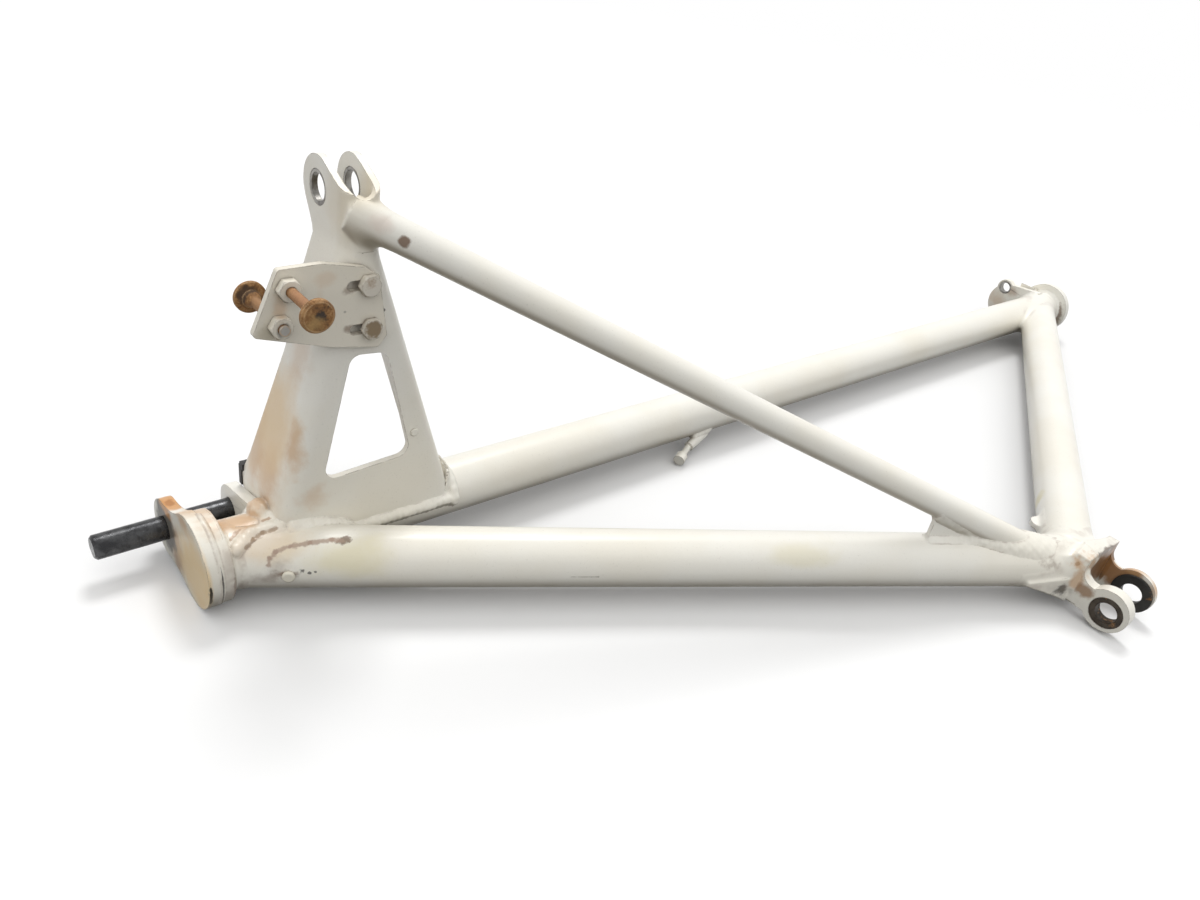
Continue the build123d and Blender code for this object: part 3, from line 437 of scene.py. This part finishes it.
STEEL_RUSTY = make_rust("rusted_bolt", [
    ((42.4, -70, 150.2), (6, 12, 6), (0.46, 0.24, 0.13, 1), 0.65, 1.0, 200, 0.6),
    ((43.8, -86, 148.4), (2.8, 1.6, 3.0), (0.020, 0.014, 0.010, 1), 0.95, 1.8, 420, 0.4),
    ((41, -86, 145), (7, 2, 5), (0.46, 0.30, 0.12, 1), 0.60, 1.6, 260, 0.7),
    ((36.5, -26.5, 134.0), (6.0, 2.4, 6.0), (0.050, 0.026, 0.012, 1), 0.90, 0.9, 300, 0.4),
    ((38, -36, 133.6), (4, 7.5, 4), (0.38, 0.21, 0.10, 1), 0.85, 0.9, 200, 0.4),
    ((38.2, -62, 131.8), (4, 2.2, 4), (0.50, 0.49, 0.46, 1), 0.95, 0.8, 300, 0.4)])
RUBBER = make_rubber("black_rubber")

# Materials of the solids; all others are in cream paint
LOOK = {
    "front_outer_lug": LUG_PAINT, "tube_plug": PLUG_PAINT, "edge_clip": RUBBER, "hinge_pin": STEEL_DARK,
    "rear_lug_bush": STEEL_BUSH, "upper_clevis_bushes": STEEL_BUSH, "clevis_front_bush": STEEL_BARE,
    "clevis_rear_bush": BLACK_RING, "stop_bracket": BRACKET_PAINT, "bracket_bolts": HEX_PAINT,
    "bracket_washers": HEX_PAINT, "bracket_nuts": STEEL_HEX, "front_stop_bolt": STEEL_RUSTY,
    "rear_stop_bolt": STEEL_RUSTY, "front_stop_nut": BRACKET_PAINT, "rear_stop_nut": BRACKET_PAINT,
}
WELD_GAP, EDGE_WIDTH, SHARP_ANGLE = 1e-6, 0.0004, math.radians(35)


def dress(piece, look):
    """Gives a solid its material, small rounds on its sharp edges and smooth shading between them."""
    mesh = piece.data
    mesh.materials.clear()
    mesh.materials.append(look)
    if mesh.has_custom_normals:
        mesh.attributes.remove(mesh.attributes["custom_normal"])
    piece.modifiers.new("weld", "WELD").merge_threshold = WELD_GAP
    bevel = piece.modifiers.new("bevel", "BEVEL")
    bevel.width = EDGE_WIDTH
    bevel.segments = 2
    bevel.limit_method = "ANGLE"
    bevel.angle_limit = SHARP_ANGLE
    bevel.harden_normals = False
    mesh.polygons.foreach_set("use_smooth", [True] * len(mesh.polygons))
    piece.modifiers.new("normals", "WEIGHTED_NORMAL").keep_sharp = True


for name, piece in NODES.items():
    dress(piece, LOOK.get(name, PAINT))


# Weld beads: closed meshes worked out from distances to the tubes, lugs and sheets, in millimetres.
# A shape gives the distance from its surface at points p, and is below zero inside.

# Length and height of a bead's ripples, and height of its lumps, as a share of its size
RIPPLE_MM, RIPPLE, LUMP = 3.1, 0.04, 0.08
# Direction and phase of the waves that make the lumps, and how high they add up
WAVES = [((0.9, 0.5, -0.3), 0.4), ((-0.4, 0.8, 0.7), 2.1), ((0.5, -0.7, 0.9), 4.0), ((0.2, 1.3, -0.6), 1.2),
         ((1.5, 0.2, 0.8), 3.3)]
WAVES_HIGH = 3.2
# Softness of the line between a bead and what it lies on
SOFT, FILL_SOFT = 1.6, 0.6
# How deep the skin is sunk at a bead and away from it, how thick it is and how far it reaches past a bead
SINK_NEAR, SINK_FAR, SKIN, REACH_MM = 0.06, 0.6, 1.4, 3.4
# Height over the joined surfaces at which a line of dirt and painted shade lies along a bead, and the line's
# width
TOE_AT, TOE_WIDTH = 0.22, 0.2
FAR = 1e3
PULLS, PROBE, LEAST_SLOPE = 2, 0.05, 0.25


def rod(start, way, radius):
    """Endless round bar."""
    start, way = np.array(start, float), np.array(way, float) / np.linalg.norm(way)

    def shape(p):
        away = p - start
        return np.linalg.norm(away - (away @ way)[..., None] * way, axis=-1) - radius
    return shape


def flat(axis, place, sign=1):
    """Half space across an axis: solid below its place, or above it with sign -1."""
    return lambda p: sign * (p[..., axis] - place)


def wall(point, normal):
    """Half space behind a flat face through a point."""
    point, normal = np.array(point, float), np.array(normal, float) / np.linalg.norm(normal)
    return lambda p: (p - point) @ normal


def past(measure, place):
    """Where another shape's distance is greater than a place."""
    return lambda p: place - measure(p)


def slab(point, normal, thick):
    """Plate of even thickness, half of it either side of a point."""
    point, normal = np.array(point, float), np.array(normal, float) / np.linalg.norm(normal)
    return lambda p: np.abs((p - point) @ normal) - thick / 2


def both(*shapes):
    return lambda p: np.maximum.reduce([shape(p) for shape in shapes])


def either(*shapes):
    return lambda p: np.minimum.reduce([shape(p) for shape in shapes])


def between(axis, low, high):
    return both(flat(axis, low, -1), flat(axis, high))


def belt(x_low, x_high, circles):
    """Plate across X with the outline of a belt round two circles, each (y, z, radius)."""
    (ya, za, ra), (yb, zb, rb) = circles
    start, way = np.array([ya, za]), np.array([yb - ya, zb - za])
    length = np.linalg.norm(way)
    way = way / length
    lean = (ra - rb) / length
    rise = math.sqrt(1 - lean * lean)

    def shape(p):
        away = p[..., 1:] - start
        along = away @ way
        side = np.abs(away @ np.array([-way[1], way[0]]))
        turn = along * rise - side * lean
        round_a = np.hypot(side, along) - ra
        round_b = np.hypot(side, along - length) - rb
        edge = side * rise + along * lean - ra
        outline = np.where(turn < 0, round_a, np.where(turn > length * rise, round_b, edge))
        return np.maximum(outline, between(0, x_low, x_high)(p))
    return shape


def bent_sheet(x_low, x_high, y_front, thick, corner):
    """Channel section seen from above: a web at the front with a flange at each side."""
    middle = (x_low + x_high) / 2
    half = (x_high - x_low) / 2

    def shape(p):
        qx = np.abs(p[..., 0] - middle) - half + corner
        qy = y_front - p[..., 1] + corner
        outer = np.hypot(np.maximum(qx, 0), np.maximum(qy, 0)) + np.minimum(np.maximum(qx, qy), 0) - corner
        return np.maximum(outer, -outer - thick)
    return shape


def blend(a, b, soft):
    """Smooth minimum of two distances."""
    share = np.clip(0.5 + 0.5 * (b - a) / soft, 0, 1)
    return b + (a - b) * share - soft * share * (1 - share)


def lumps(p):
    """Slow unevenness of a hand-laid bead, about -1 to 1."""
    return sum(np.sin(p @ np.array(wave) + phase) for wave, phase in WAVES) / WAVES_HIGH


def ripple(p, way):
    """Size of a bead along its way, with its ripples and lumps."""
    way = np.array(way, float) / np.linalg.norm(way)
    return 1 + LUMP * lumps(p) + RIPPLE * np.sin(p @ way * 2 * math.pi / RIPPLE_MM)


def inside(p, limits, run):
    """From 0 at the limits of a bead to 1 further in, over its run."""
    share = np.ones(p.shape[:-1])
    for limit in limits:
        share = np.minimum(share, np.clip(-limit(p) / run, 0, 1))
    return share


# A bead is three things: its metal's distance, the distance that keeps the skin near it, and its softness

def seam(a, b, radius, *limits, way=(1, 0, 0), soft=SOFT):
    """Bead laid where two surfaces meet, with round ends at its limits."""
    def metal(p):
        size = radius * ripple(p, way) * np.sqrt(1 - (1 - inside(p, limits, radius)) ** 2)
        return np.hypot(a(p), b(p)) - size

    def near(p):
        return np.maximum.reduce([np.hypot(a(p), b(p)) - radius, *[limit(p) for limit in limits]])
    return metal, near, soft


def fillet(a, b, reach, *limits):
    """Smooth wide fill between two surfaces, running out towards its limits."""
    def metal(p):
        here = reach * inside(p, limits, 0.8 * reach) + 1e-3
        return blend(a(p), b(p), here)

    def near(p):
        return np.maximum.reduce([np.hypot(a(p), b(p)) - reach, *[limit(p) for limit in limits]])
    return metal, near, FILL_SOFT


def cut(fill, *limits):
    """The same weld metal, cut off flat at its limits."""
    metal, near, soft = fill
    return both(metal, *limits), near, soft


def bead(points, radius, soft=SOFT):
    """Bead with round ends along a chain of points."""
    points = [np.array(point, float) for point in points]

    def metal(p):
        gap = np.full(p.shape[:-1], FAR)
        for start, end in zip(points, points[1:]):
            way = end - start
            share = np.clip((p - start) @ way / (way @ way), 0, 1)
            gap = np.minimum(gap, np.linalg.norm(p - start - share[..., None] * way, axis=-1))
        return gap - radius * ripple(p, points[-1] - points[0])
    return metal, metal, soft


def bar(start, way, radius, *limits, soft=SOFT):
    """Straight bead along a line, kept inside its limits."""
    core = rod(start, way, 0)

    def metal(p):
        return np.maximum.reduce([core(p) - radius * ripple(p, way), *[limit(p) for limit in limits]])
    return metal, metal, soft


def boss(centre, size, soft=SOFT):
    """Lump of weld metal."""
    def metal(p):
        away = (p - np.array(centre, float)) / np.array(size, float)
        return (np.linalg.norm(away, axis=-1) - 1 - LUMP * lumps(p)) * min(size)
    return metal, metal, soft


def crossings(grid, value, axis, step):
    """Which grid edges along an axis cross the surface, and the point where each does."""
    near_side, far_side = [slice(None)] * 3, [slice(None)] * 3
    near_side[axis], far_side[axis] = slice(0, -1), slice(1, None)
    near_value, far_value = value[tuple(near_side)], value[tuple(far_side)]
    crosses = (near_value < 0) != (far_value < 0)
    share = np.where(crosses, near_value / np.where(crosses, near_value - far_value, 1), 0)
    point = grid[tuple(near_side)].copy()
    point[..., axis] += share * step
    return crosses, point


def touching(cells, axis):
    """The four parts of the edges along an axis that give each cell its four edges."""
    first, second = [a for a in range(3) if a != axis]
    for shift_first in (0, 1):
        for shift_second in (0, 1):
            part = [slice(None)] * 3
            part[first] = slice(shift_first, shift_first + cells[first])
            part[second] = slice(shift_second, shift_second + cells[second])
            yield tuple(part)


def faces_round(crosses, solid, number, axis):
    """A face round each crossed edge along an axis, from the points of its four cells."""
    first, second = [a for a in range(3) if a != axis]
    spots = np.argwhere(crosses)
    corners = []
    for shift_first, shift_second in ((0, 0), (1, 0), (1, 1), (0, 1)):
        cell = spots.copy()
        cell[:, first] -= shift_first
        cell[:, second] -= shift_second
        corners.append(number[tuple(cell.T)])
    quads = np.stack(corners, axis=1)
    turned = solid[tuple(spots.T)] == (axis == 1)
    quads[turned] = quads[turned][:, ::-1]
    return quads


def onto(field, points, step):
    """Pulls points onto the field's zero, at most half a step at a time."""
    for _ in range(PULLS):
        slope = np.stack([(field(points + PROBE * unit) - field(points - PROBE * unit)) / (2 * PROBE)
                          for unit in np.eye(3)], axis=-1)
        pull = field(points) / np.maximum((slope ** 2).sum(-1), LEAST_SLOPE)
        points = points - np.clip(pull, -step / 2, step / 2)[:, None] * slope
    return points


def net(field, low, high, step):
    """Closed mesh round the places where a field is below zero, with one point in each cell it crosses."""
    axes = [np.arange(a, b + step, step) for a, b in zip(low, high)]
    grid = np.stack(np.meshgrid(*axes, indexing="ij"), axis=-1)
    value = field(grid)
    for axis in range(3):
        rim = np.moveaxis(value, axis, 0)
        rim[0], rim[-1] = 1.0, 1.0
    cells = np.array(value.shape) - 1
    total, count = np.zeros((*cells, 3)), np.zeros(cells)
    crossed = []
    for axis in range(3):
        crosses, point = crossings(grid, value, axis, step)
        crossed.append(crosses)
        for part in touching(cells, axis):
            total += np.where(crosses[part][..., None], point[part], 0)
            count += crosses[part]
    used = count > 0
    number = np.full(cells, -1)
    number[used] = np.arange(used.sum())
    quads = [faces_round(crosses, value < 0, number, axis) for axis, crosses in enumerate(crossed)]
    return onto(field, total[used] / count[used][:, None], step), np.concatenate(quads)


def place(name, data):
    """A new object in the scene."""
    made = bpy.data.objects.new(name, data)
    bpy.context.scene.collection.objects.link(made)
    return made


def weld(name, bases, beads, low, high, step=0.8, toe_line=1.0):
    """Weld metal of one joint: the beads blended into the surfaces that they join."""
    base = either(*bases)

    def field(p):
        ground = base(p)
        skin = ground
        closest = np.full(ground.shape, FAR)
        for metal, near, soft in beads:
            skin = blend(metal(p), skin, soft)
            closest = np.minimum(closest, near(p))
        sink = SINK_NEAR + SINK_FAR * np.clip(closest / REACH_MM, 0, 1)
        return np.maximum.reduce([skin + sink, closest - REACH_MM, -ground - SKIN])

    points, quads = net(field, low, high, step)
    mesh = bpy.data.meshes.new(name)
    mesh.from_pydata((points * MM).tolist(), [], quads.tolist())
    mesh.polygons.foreach_set("use_smooth", [True] * len(mesh.polygons))
    toe = mesh.attributes.new("toe", "FLOAT", "POINT")
    line = toe_line * np.exp(-((base(points) - TOE_AT) / TOE_WIDTH) ** 2)
    toe.data.foreach_set("value", line.astype(np.float32))
    mesh.materials.append(PAINT)
    mesh.update()
    piece = place(name, mesh)
    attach(piece, "frame")


# The joined surfaces, in millimetres, at the places that the solids have them

TUBE_R, BRACE_R, SHEET, LUG = 15.875, 7.9375, 3.2, 6.35
ALONG_X = (1, 0, 0)
TUBE_Y, TUBE_Z = -36, 3.6
HINGE_START, FRONT_START = (0, TUBE_Y, TUBE_Z), (10.5, TUBE_Y, TUBE_Z)
FRONT_WAY, CROSS_WAY, BRACE_WAY = (430.3, -238, 0), (410.3, 238, 0), (327.67, -205.465, -158.6)
HINGE = rod(HINGE_START, ALONG_X, TUBE_R)
FRONT = rod(FRONT_START, FRONT_WAY, TUBE_R)
CROSS = rod((440.8, -274, TUBE_Z), CROSS_WAY, TUBE_R)
DIAGONAL = rod((83.0, -51.875, 172.2), BRACE_WAY, BRACE_R)
WEB_Y = -51.875
BEND_R = 8.0
FACE_NORMAL = (0.48401, 0.87507, 0)
along_front = wall(FRONT_START, FRONT_WAY)

# Front node
COLLAR_R, DISC_R, COLLAR_END, INNER_LUG_X = 23.6, 24.2, 2 * LUG, 33.15
FOOT_LOW, FOOT_HIGH = 39.5, 138.8
collar = both(rod(HINGE_START, ALONG_X, COLLAR_R), between(0, LUG, COLLAR_END))
lug_disc = both(rod(HINGE_START, ALONG_X, DISC_R), between(0, 0.0, LUG), flat(1, -27.0))
past_collar = flat(0, COLLAR_END, -1)
inner_lug = both(belt(INNER_LUG_X, INNER_LUG_X + LUG, [(TUBE_Y, TUBE_Z, 18.5), (0, 0.6, 13.5)]),
                 flat(1, TUBE_Y, -1))
tower_foot = both(bent_sheet(FOOT_LOW, FOOT_HIGH, WEB_Y, SHEET, BEND_R), flat(2, 8.6, -1), flat(1, -20.0),
                  flat(2, 27.0))
two_tubes = either(HINGE, FRONT)
weld("front_node_weld", [both(two_tubes, past_collar), collar, lug_disc, inner_lug, tower_foot],
     [seam(HINGE, FRONT, 2.8, past_collar, flat(0, 33.0, -1), way=(1, -0.3, 0)),
      seam(HINGE, FRONT, 2.6, past_collar, flat(2, 4.0)),
      bead([(16.5, -51.5, 15.2), (25.5, -46.6, 18.0), (36.5, -46.0, 18.2)], 3.5, soft=1.2),
      fillet(both(two_tubes, flat(0, 9.0, -1)), collar, 6.0, flat(2, -15.5, -1)),
      seam(flat(0, LUG), rod(HINGE_START, ALONG_X, 23.3), 1.3, flat(2, -12.0, -1), flat(1, -31.0),
           way=(0, 1, 1), soft=1.2),
      seam(flat(1, WEB_Y), FRONT, 3.3, flat(0, 42.0, -1), flat(2, 2.0, -1), soft=2.0),
      bar((60.0, -51.2, 7.0), ALONG_X, 3.4, between(0, 58.0, 140.5), soft=2.0),
      seam(flat(0, FOOT_HIGH), HINGE, 2.8, flat(1, -18.0), flat(2, 2.0, -1), way=(0, 1, 0)),
      seam(flat(0, FOOT_LOW), two_tubes, 2.8, flat(2, 6.0, -1), between(1, -51.5, -22.0), way=(0, 1, 0)),
      seam(flat(0, INNER_LUG_X), HINGE, 2.2, flat(1, -34.0, -1), flat(1, -12.0), way=(0, 1, 1)),
      boss((36.2, -32.0, 20.6), (5.8, 6.4, 4.8), soft=1.0)],
     (2, -95, -20), (148, -10, 36))

# Tower neck
NOTCH_CENTRE, NOTCH_R = (80.0, 0, 188.1), 6.45
BRACE_TOP = (75.16, -46.96, 175.99)
ear_slope = wall((0, WEB_Y, 183.6), (0, -0.4195, 0.9077))
notch_line = rod(NOTCH_CENTRE, (0, 1, 0), 0)
neck = both(bent_sheet(70.3, 89.7, WEB_Y, SHEET, BEND_R), flat(2, 158.0, -1), flat(1, -30.0), ear_slope,
            past(notch_line, NOTCH_R))
neck_tube = both(DIAGONAL, wall(BRACE_TOP, [-value for value in BRACE_WAY]))
weld("tower_neck_weld", [neck, both(neck_tube, flat(1, -49.0))],
     [fillet(neck, neck_tube, 8.0, flat(1, -46.0), flat(2, 184.5), past(notch_line, 7.0))],
     (64, -80, 152), (108, -40, 188), toe_line=0.0)

# Diagonal's foot
past_gusset = past(along_front, 387.5)
under_diagonal = wall((410.67, -257.34, 13.6), (0.3594, -0.1988, 0.9117))
plate = slab(FRONT_START, FACE_NORMAL, SHEET)
gusset = both(plate, past(along_front, 388.0), under_diagonal, flat(2, 12.0, -1))
SEAM_WAY = (0.875, -0.484, 0)
weld("diagonal_foot_weld", [FRONT, both(DIAGONAL, flat(2, 8.0, -1)), gusset],
     [seam(FRONT, DIAGONAL, 3.4, flat(2, 6.0, -1), way=SEAM_WAY, soft=2.4),
      seam(plate, FRONT, 2.6, past_gusset, flat(2, 6.0, -1), under_diagonal, way=SEAM_WAY, soft=2.4),
      seam(plate, DIAGONAL, 1.8, past_gusset, flat(2, 14.0, -1), under_diagonal, way=SEAM_WAY)],
     (338, -278, 2), (432, -205, 52))

# Clevis joint
CLEVIS_X, WEB_BACK, WEB_FRONT, CLEVIS_LOW = 427.5, -282.3, -288.65, -12.275
web_plate = both(between(0, CLEVIS_X, 467.6), between(1, WEB_FRONT, WEB_BACK), between(2, CLEVIS_LOW, 18.5))
front_ear = both(between(0, CLEVIS_X, 435.44), between(1, -300.0, WEB_BACK), between(2, CLEVIS_LOW, 3.9))
tab = both(rod((462.31, -244.32, TUBE_Z), (0, 0, 1), 6.5), between(2, 2.0, 5.2))
front_end = both(FRONT, flat(0, 441.5), flat(1, WEB_BACK, -1))
cross_end = both(CROSS, flat(0, 440.0, -1), flat(1, WEB_BACK, -1))
tubes = either(front_end, cross_end)
side_plate = both(slab((3.155, -49.279, TUBE_Z), FACE_NORMAL, 4.6), flat(0, CLEVIS_X),
                  wall((401.2, -269.7, -0.4), (-0.156, 0.0, 0.985)),
                  wall((446.0, -294.0, -20.2), (-0.26, 0.2, -0.94)), past(along_front, 455.0))
weld("clevis_joint_weld", [tubes, web_plate, front_ear, tab, side_plate],
     [fillet(front_end, cross_end, 7.0),
      cut(fillet(tubes, web_plate, 12.0, flat(2, -13.0, -1)), flat(1, -288.5, -1), flat(0, 470.0)),
      fillet(front_end, front_ear, 9.0, flat(0, 437.0), flat(2, -13.0, -1)),
      fillet(tab, cross_end, 4.0, flat(0, 476.0)),
      fillet(front_end, side_plate, 5.0, flat(0, 429.0))],
     (394, -300, -21), (486, -228, 34), toe_line=0.5)

# Rear node
DISC_X, LUG_X, CROSS_END = 863.5, 842.0, 851.1
rear_lug = both(belt(LUG_X, LUG_X + LUG, [(TUBE_Y, TUBE_Z, 18.5), (-7.5, -0.6, 20.0)]), flat(1, TUBE_Y, -1))
end_disc = both(rod(HINGE_START, ALONG_X, DISC_R), between(0, DISC_X, DISC_X + LUG))
rear_hinge, rear_cross = both(HINGE, flat(0, DISC_X)), both(CROSS, flat(0, CROSS_END))
weld("rear_node_weld", [either(rear_hinge, rear_cross), rear_lug, end_disc],
     [fillet(rear_hinge, rear_cross, 7.0, flat(0, 772.0, -1), flat(0, 856.0)),
      seam(flat(0, DISC_X), HINGE, 2.6, flat(0, DISC_X + 1), way=(0, 1, 1)),
      seam(flat(0, LUG_X), either(HINGE, CROSS), 2.4, flat(1, -35.0, -1), way=(0, 1, 1)),
      seam(flat(0, LUG_X + LUG), either(HINGE, CROSS), 2.4, flat(1, -35.0, -1), flat(0, 852.5),
           way=(0, 1, 1))],
     (768, -66, -21), (868, -8, 30), toe_line=0.4)

# Stud under the hinge tube
stud = both(rod((350, -47, -8.4), (-18, -4, -4.5), 3.4), flat(0, 352.0))
weld("stud_weld", [HINGE, stud], [seam(HINGE, stud, 1.8, flat(0, 337.0, -1), flat(1, -42.0))],
     (334, -60, -22), (362, -38, 4), step=0.6)


# Floor, light and camera

MIDDLE = Vector((0.42, -0.15, CAD_BOX[0].z))
FLOOR_REACH = 60.0
FLOOR_BOUNCE, FLOOR_LOW, FLOOR_HIGH = (0.10, 0.10, 0.10, 1), (0.90, 0.90, 0.90, 1), (0.93, 0.93, 0.93, 1)
WHITE = (1, 1, 1, 1)
SKY_BACK, SKY_FRONT, SKY_LOW = (0.56, 0.56, 0.57, 1), (1.20, 1.20, 1.19, 1), (0.12, 0.12, 0.12, 1)
SKY_WAY = (-0.62, -0.68, 0.38)
SUN_WAY, SUN_POWER, SUN_ANGLE = Vector((0.32, 0.38, 0.87)), 1.12, math.radians(18)
FOCAL_PX, PHOTO_WIDTH_PX, SENSOR_MM = 937.026, 1200.0, 36.0


def seen_directly(t):
    """1 for rays from the eye, a mirror or glass; 0 for light on its way to the object."""
    path = t.node("ShaderNodeLightPath").outputs
    straight = t.math("MAXIMUM", path["Is Camera Ray"], path["Is Glossy Ray"])
    return t.math("MAXIMUM", straight, path["Is Transmission Ray"])


def make_floor_look():
    """Pale floor that gives off little light and fades to white far away."""
    made, t, shader, where = material("pale_floor")
    pale = t.mix(t.patches(where, 3.0, 3.0, 0.5, 0.3, 0.7), FLOOR_LOW, FLOOR_HIGH)
    finish_material(t, shader, t.mix(seen_directly(t), FLOOR_BOUNCE, pale), 0.9)
    shader.inputs["Specular IOR Level"].default_value = 0.1
    far_off = t.remap(t.vector("LENGTH", where), 0.9, 2.6)
    white = t.node("ShaderNodeEmission", {"Color": WHITE, "Strength": 1.0})
    fade = t.node("ShaderNodeMixShader", {0: t.math("MULTIPLY", far_off, seen_directly(t)),
                                          1: shader.outputs[0], 2: white.outputs[0]})
    t.feed(t.tree.nodes["Material Output"].inputs["Surface"], fade.outputs[0])
    return made


floor_mesh = bpy.data.meshes.new("floor")
corners = [(x * FLOOR_REACH, y * FLOOR_REACH, 0) for x, y in ((-1, -1), (1, -1), (1, 1), (-1, 1))]
floor_mesh.from_pydata(corners, [], [(0, 1, 2, 3)])
floor_mesh.materials.append(make_floor_look())
floor = place("floor", floor_mesh)
floor.location = MIDDLE
floor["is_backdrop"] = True

world = bpy.data.worlds.new("studio")
bpy.context.scene.world = world
world.use_nodes = True
world.node_tree.nodes.clear()
w = Tree(world.node_tree)
way = w.node("ShaderNodeTexCoord").outputs["Generated"]
sky = w.mix(w.remap(w.vector("DOT_PRODUCT", way, SKY_WAY), -0.6, 0.9), SKY_BACK, SKY_FRONT)
height = w.node("ShaderNodeSeparateXYZ", {"Vector": way}).outputs["Z"]
sky = w.mix(w.remap(height, 0.02, 0.46), SKY_LOW, sky)
background = w.node("ShaderNodeBackground", {"Color": w.mix(seen_directly(w), sky, WHITE), "Strength": 1.0})
w.feed(w.node("ShaderNodeOutputWorld").inputs["Surface"], background.outputs[0])

sun_data = bpy.data.lights.new("key", "SUN")
sun_data.energy = SUN_POWER
sun_data.angle = SUN_ANGLE
place("key", sun_data).rotation_euler = SUN_WAY.to_track_quat("Z", "Y").to_euler()

camera_data = bpy.data.cameras.new("camera")
camera_data.sensor_width = SENSOR_MM
camera_data.lens = FOCAL_PX * SENSOR_MM / PHOTO_WIDTH_PX
camera_data.clip_start = 0.01
camera_data.clip_end = 200.0
camera = place("camera", camera_data)
right = Vector((0.76229762, -0.62841282, 0.15491827))
upward = Vector((0.23419409, 0.49095172, 0.83911831))
back = Vector((-0.60337009, -0.60337695, 0.5214219))
eye = Vector((-0.10992064, -0.40772595, 0.31618592))
camera.matrix_world = Matrix([(*right, 0), (*upward, 0), (*back, 0), (*eye, 1)]).transposed()
bpy.context.scene.camera = camera

view = bpy.context.scene.view_settings
view.view_transform = "Standard"

[[list(corner) for corner in box] for box in (CAD_BOX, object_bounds())]
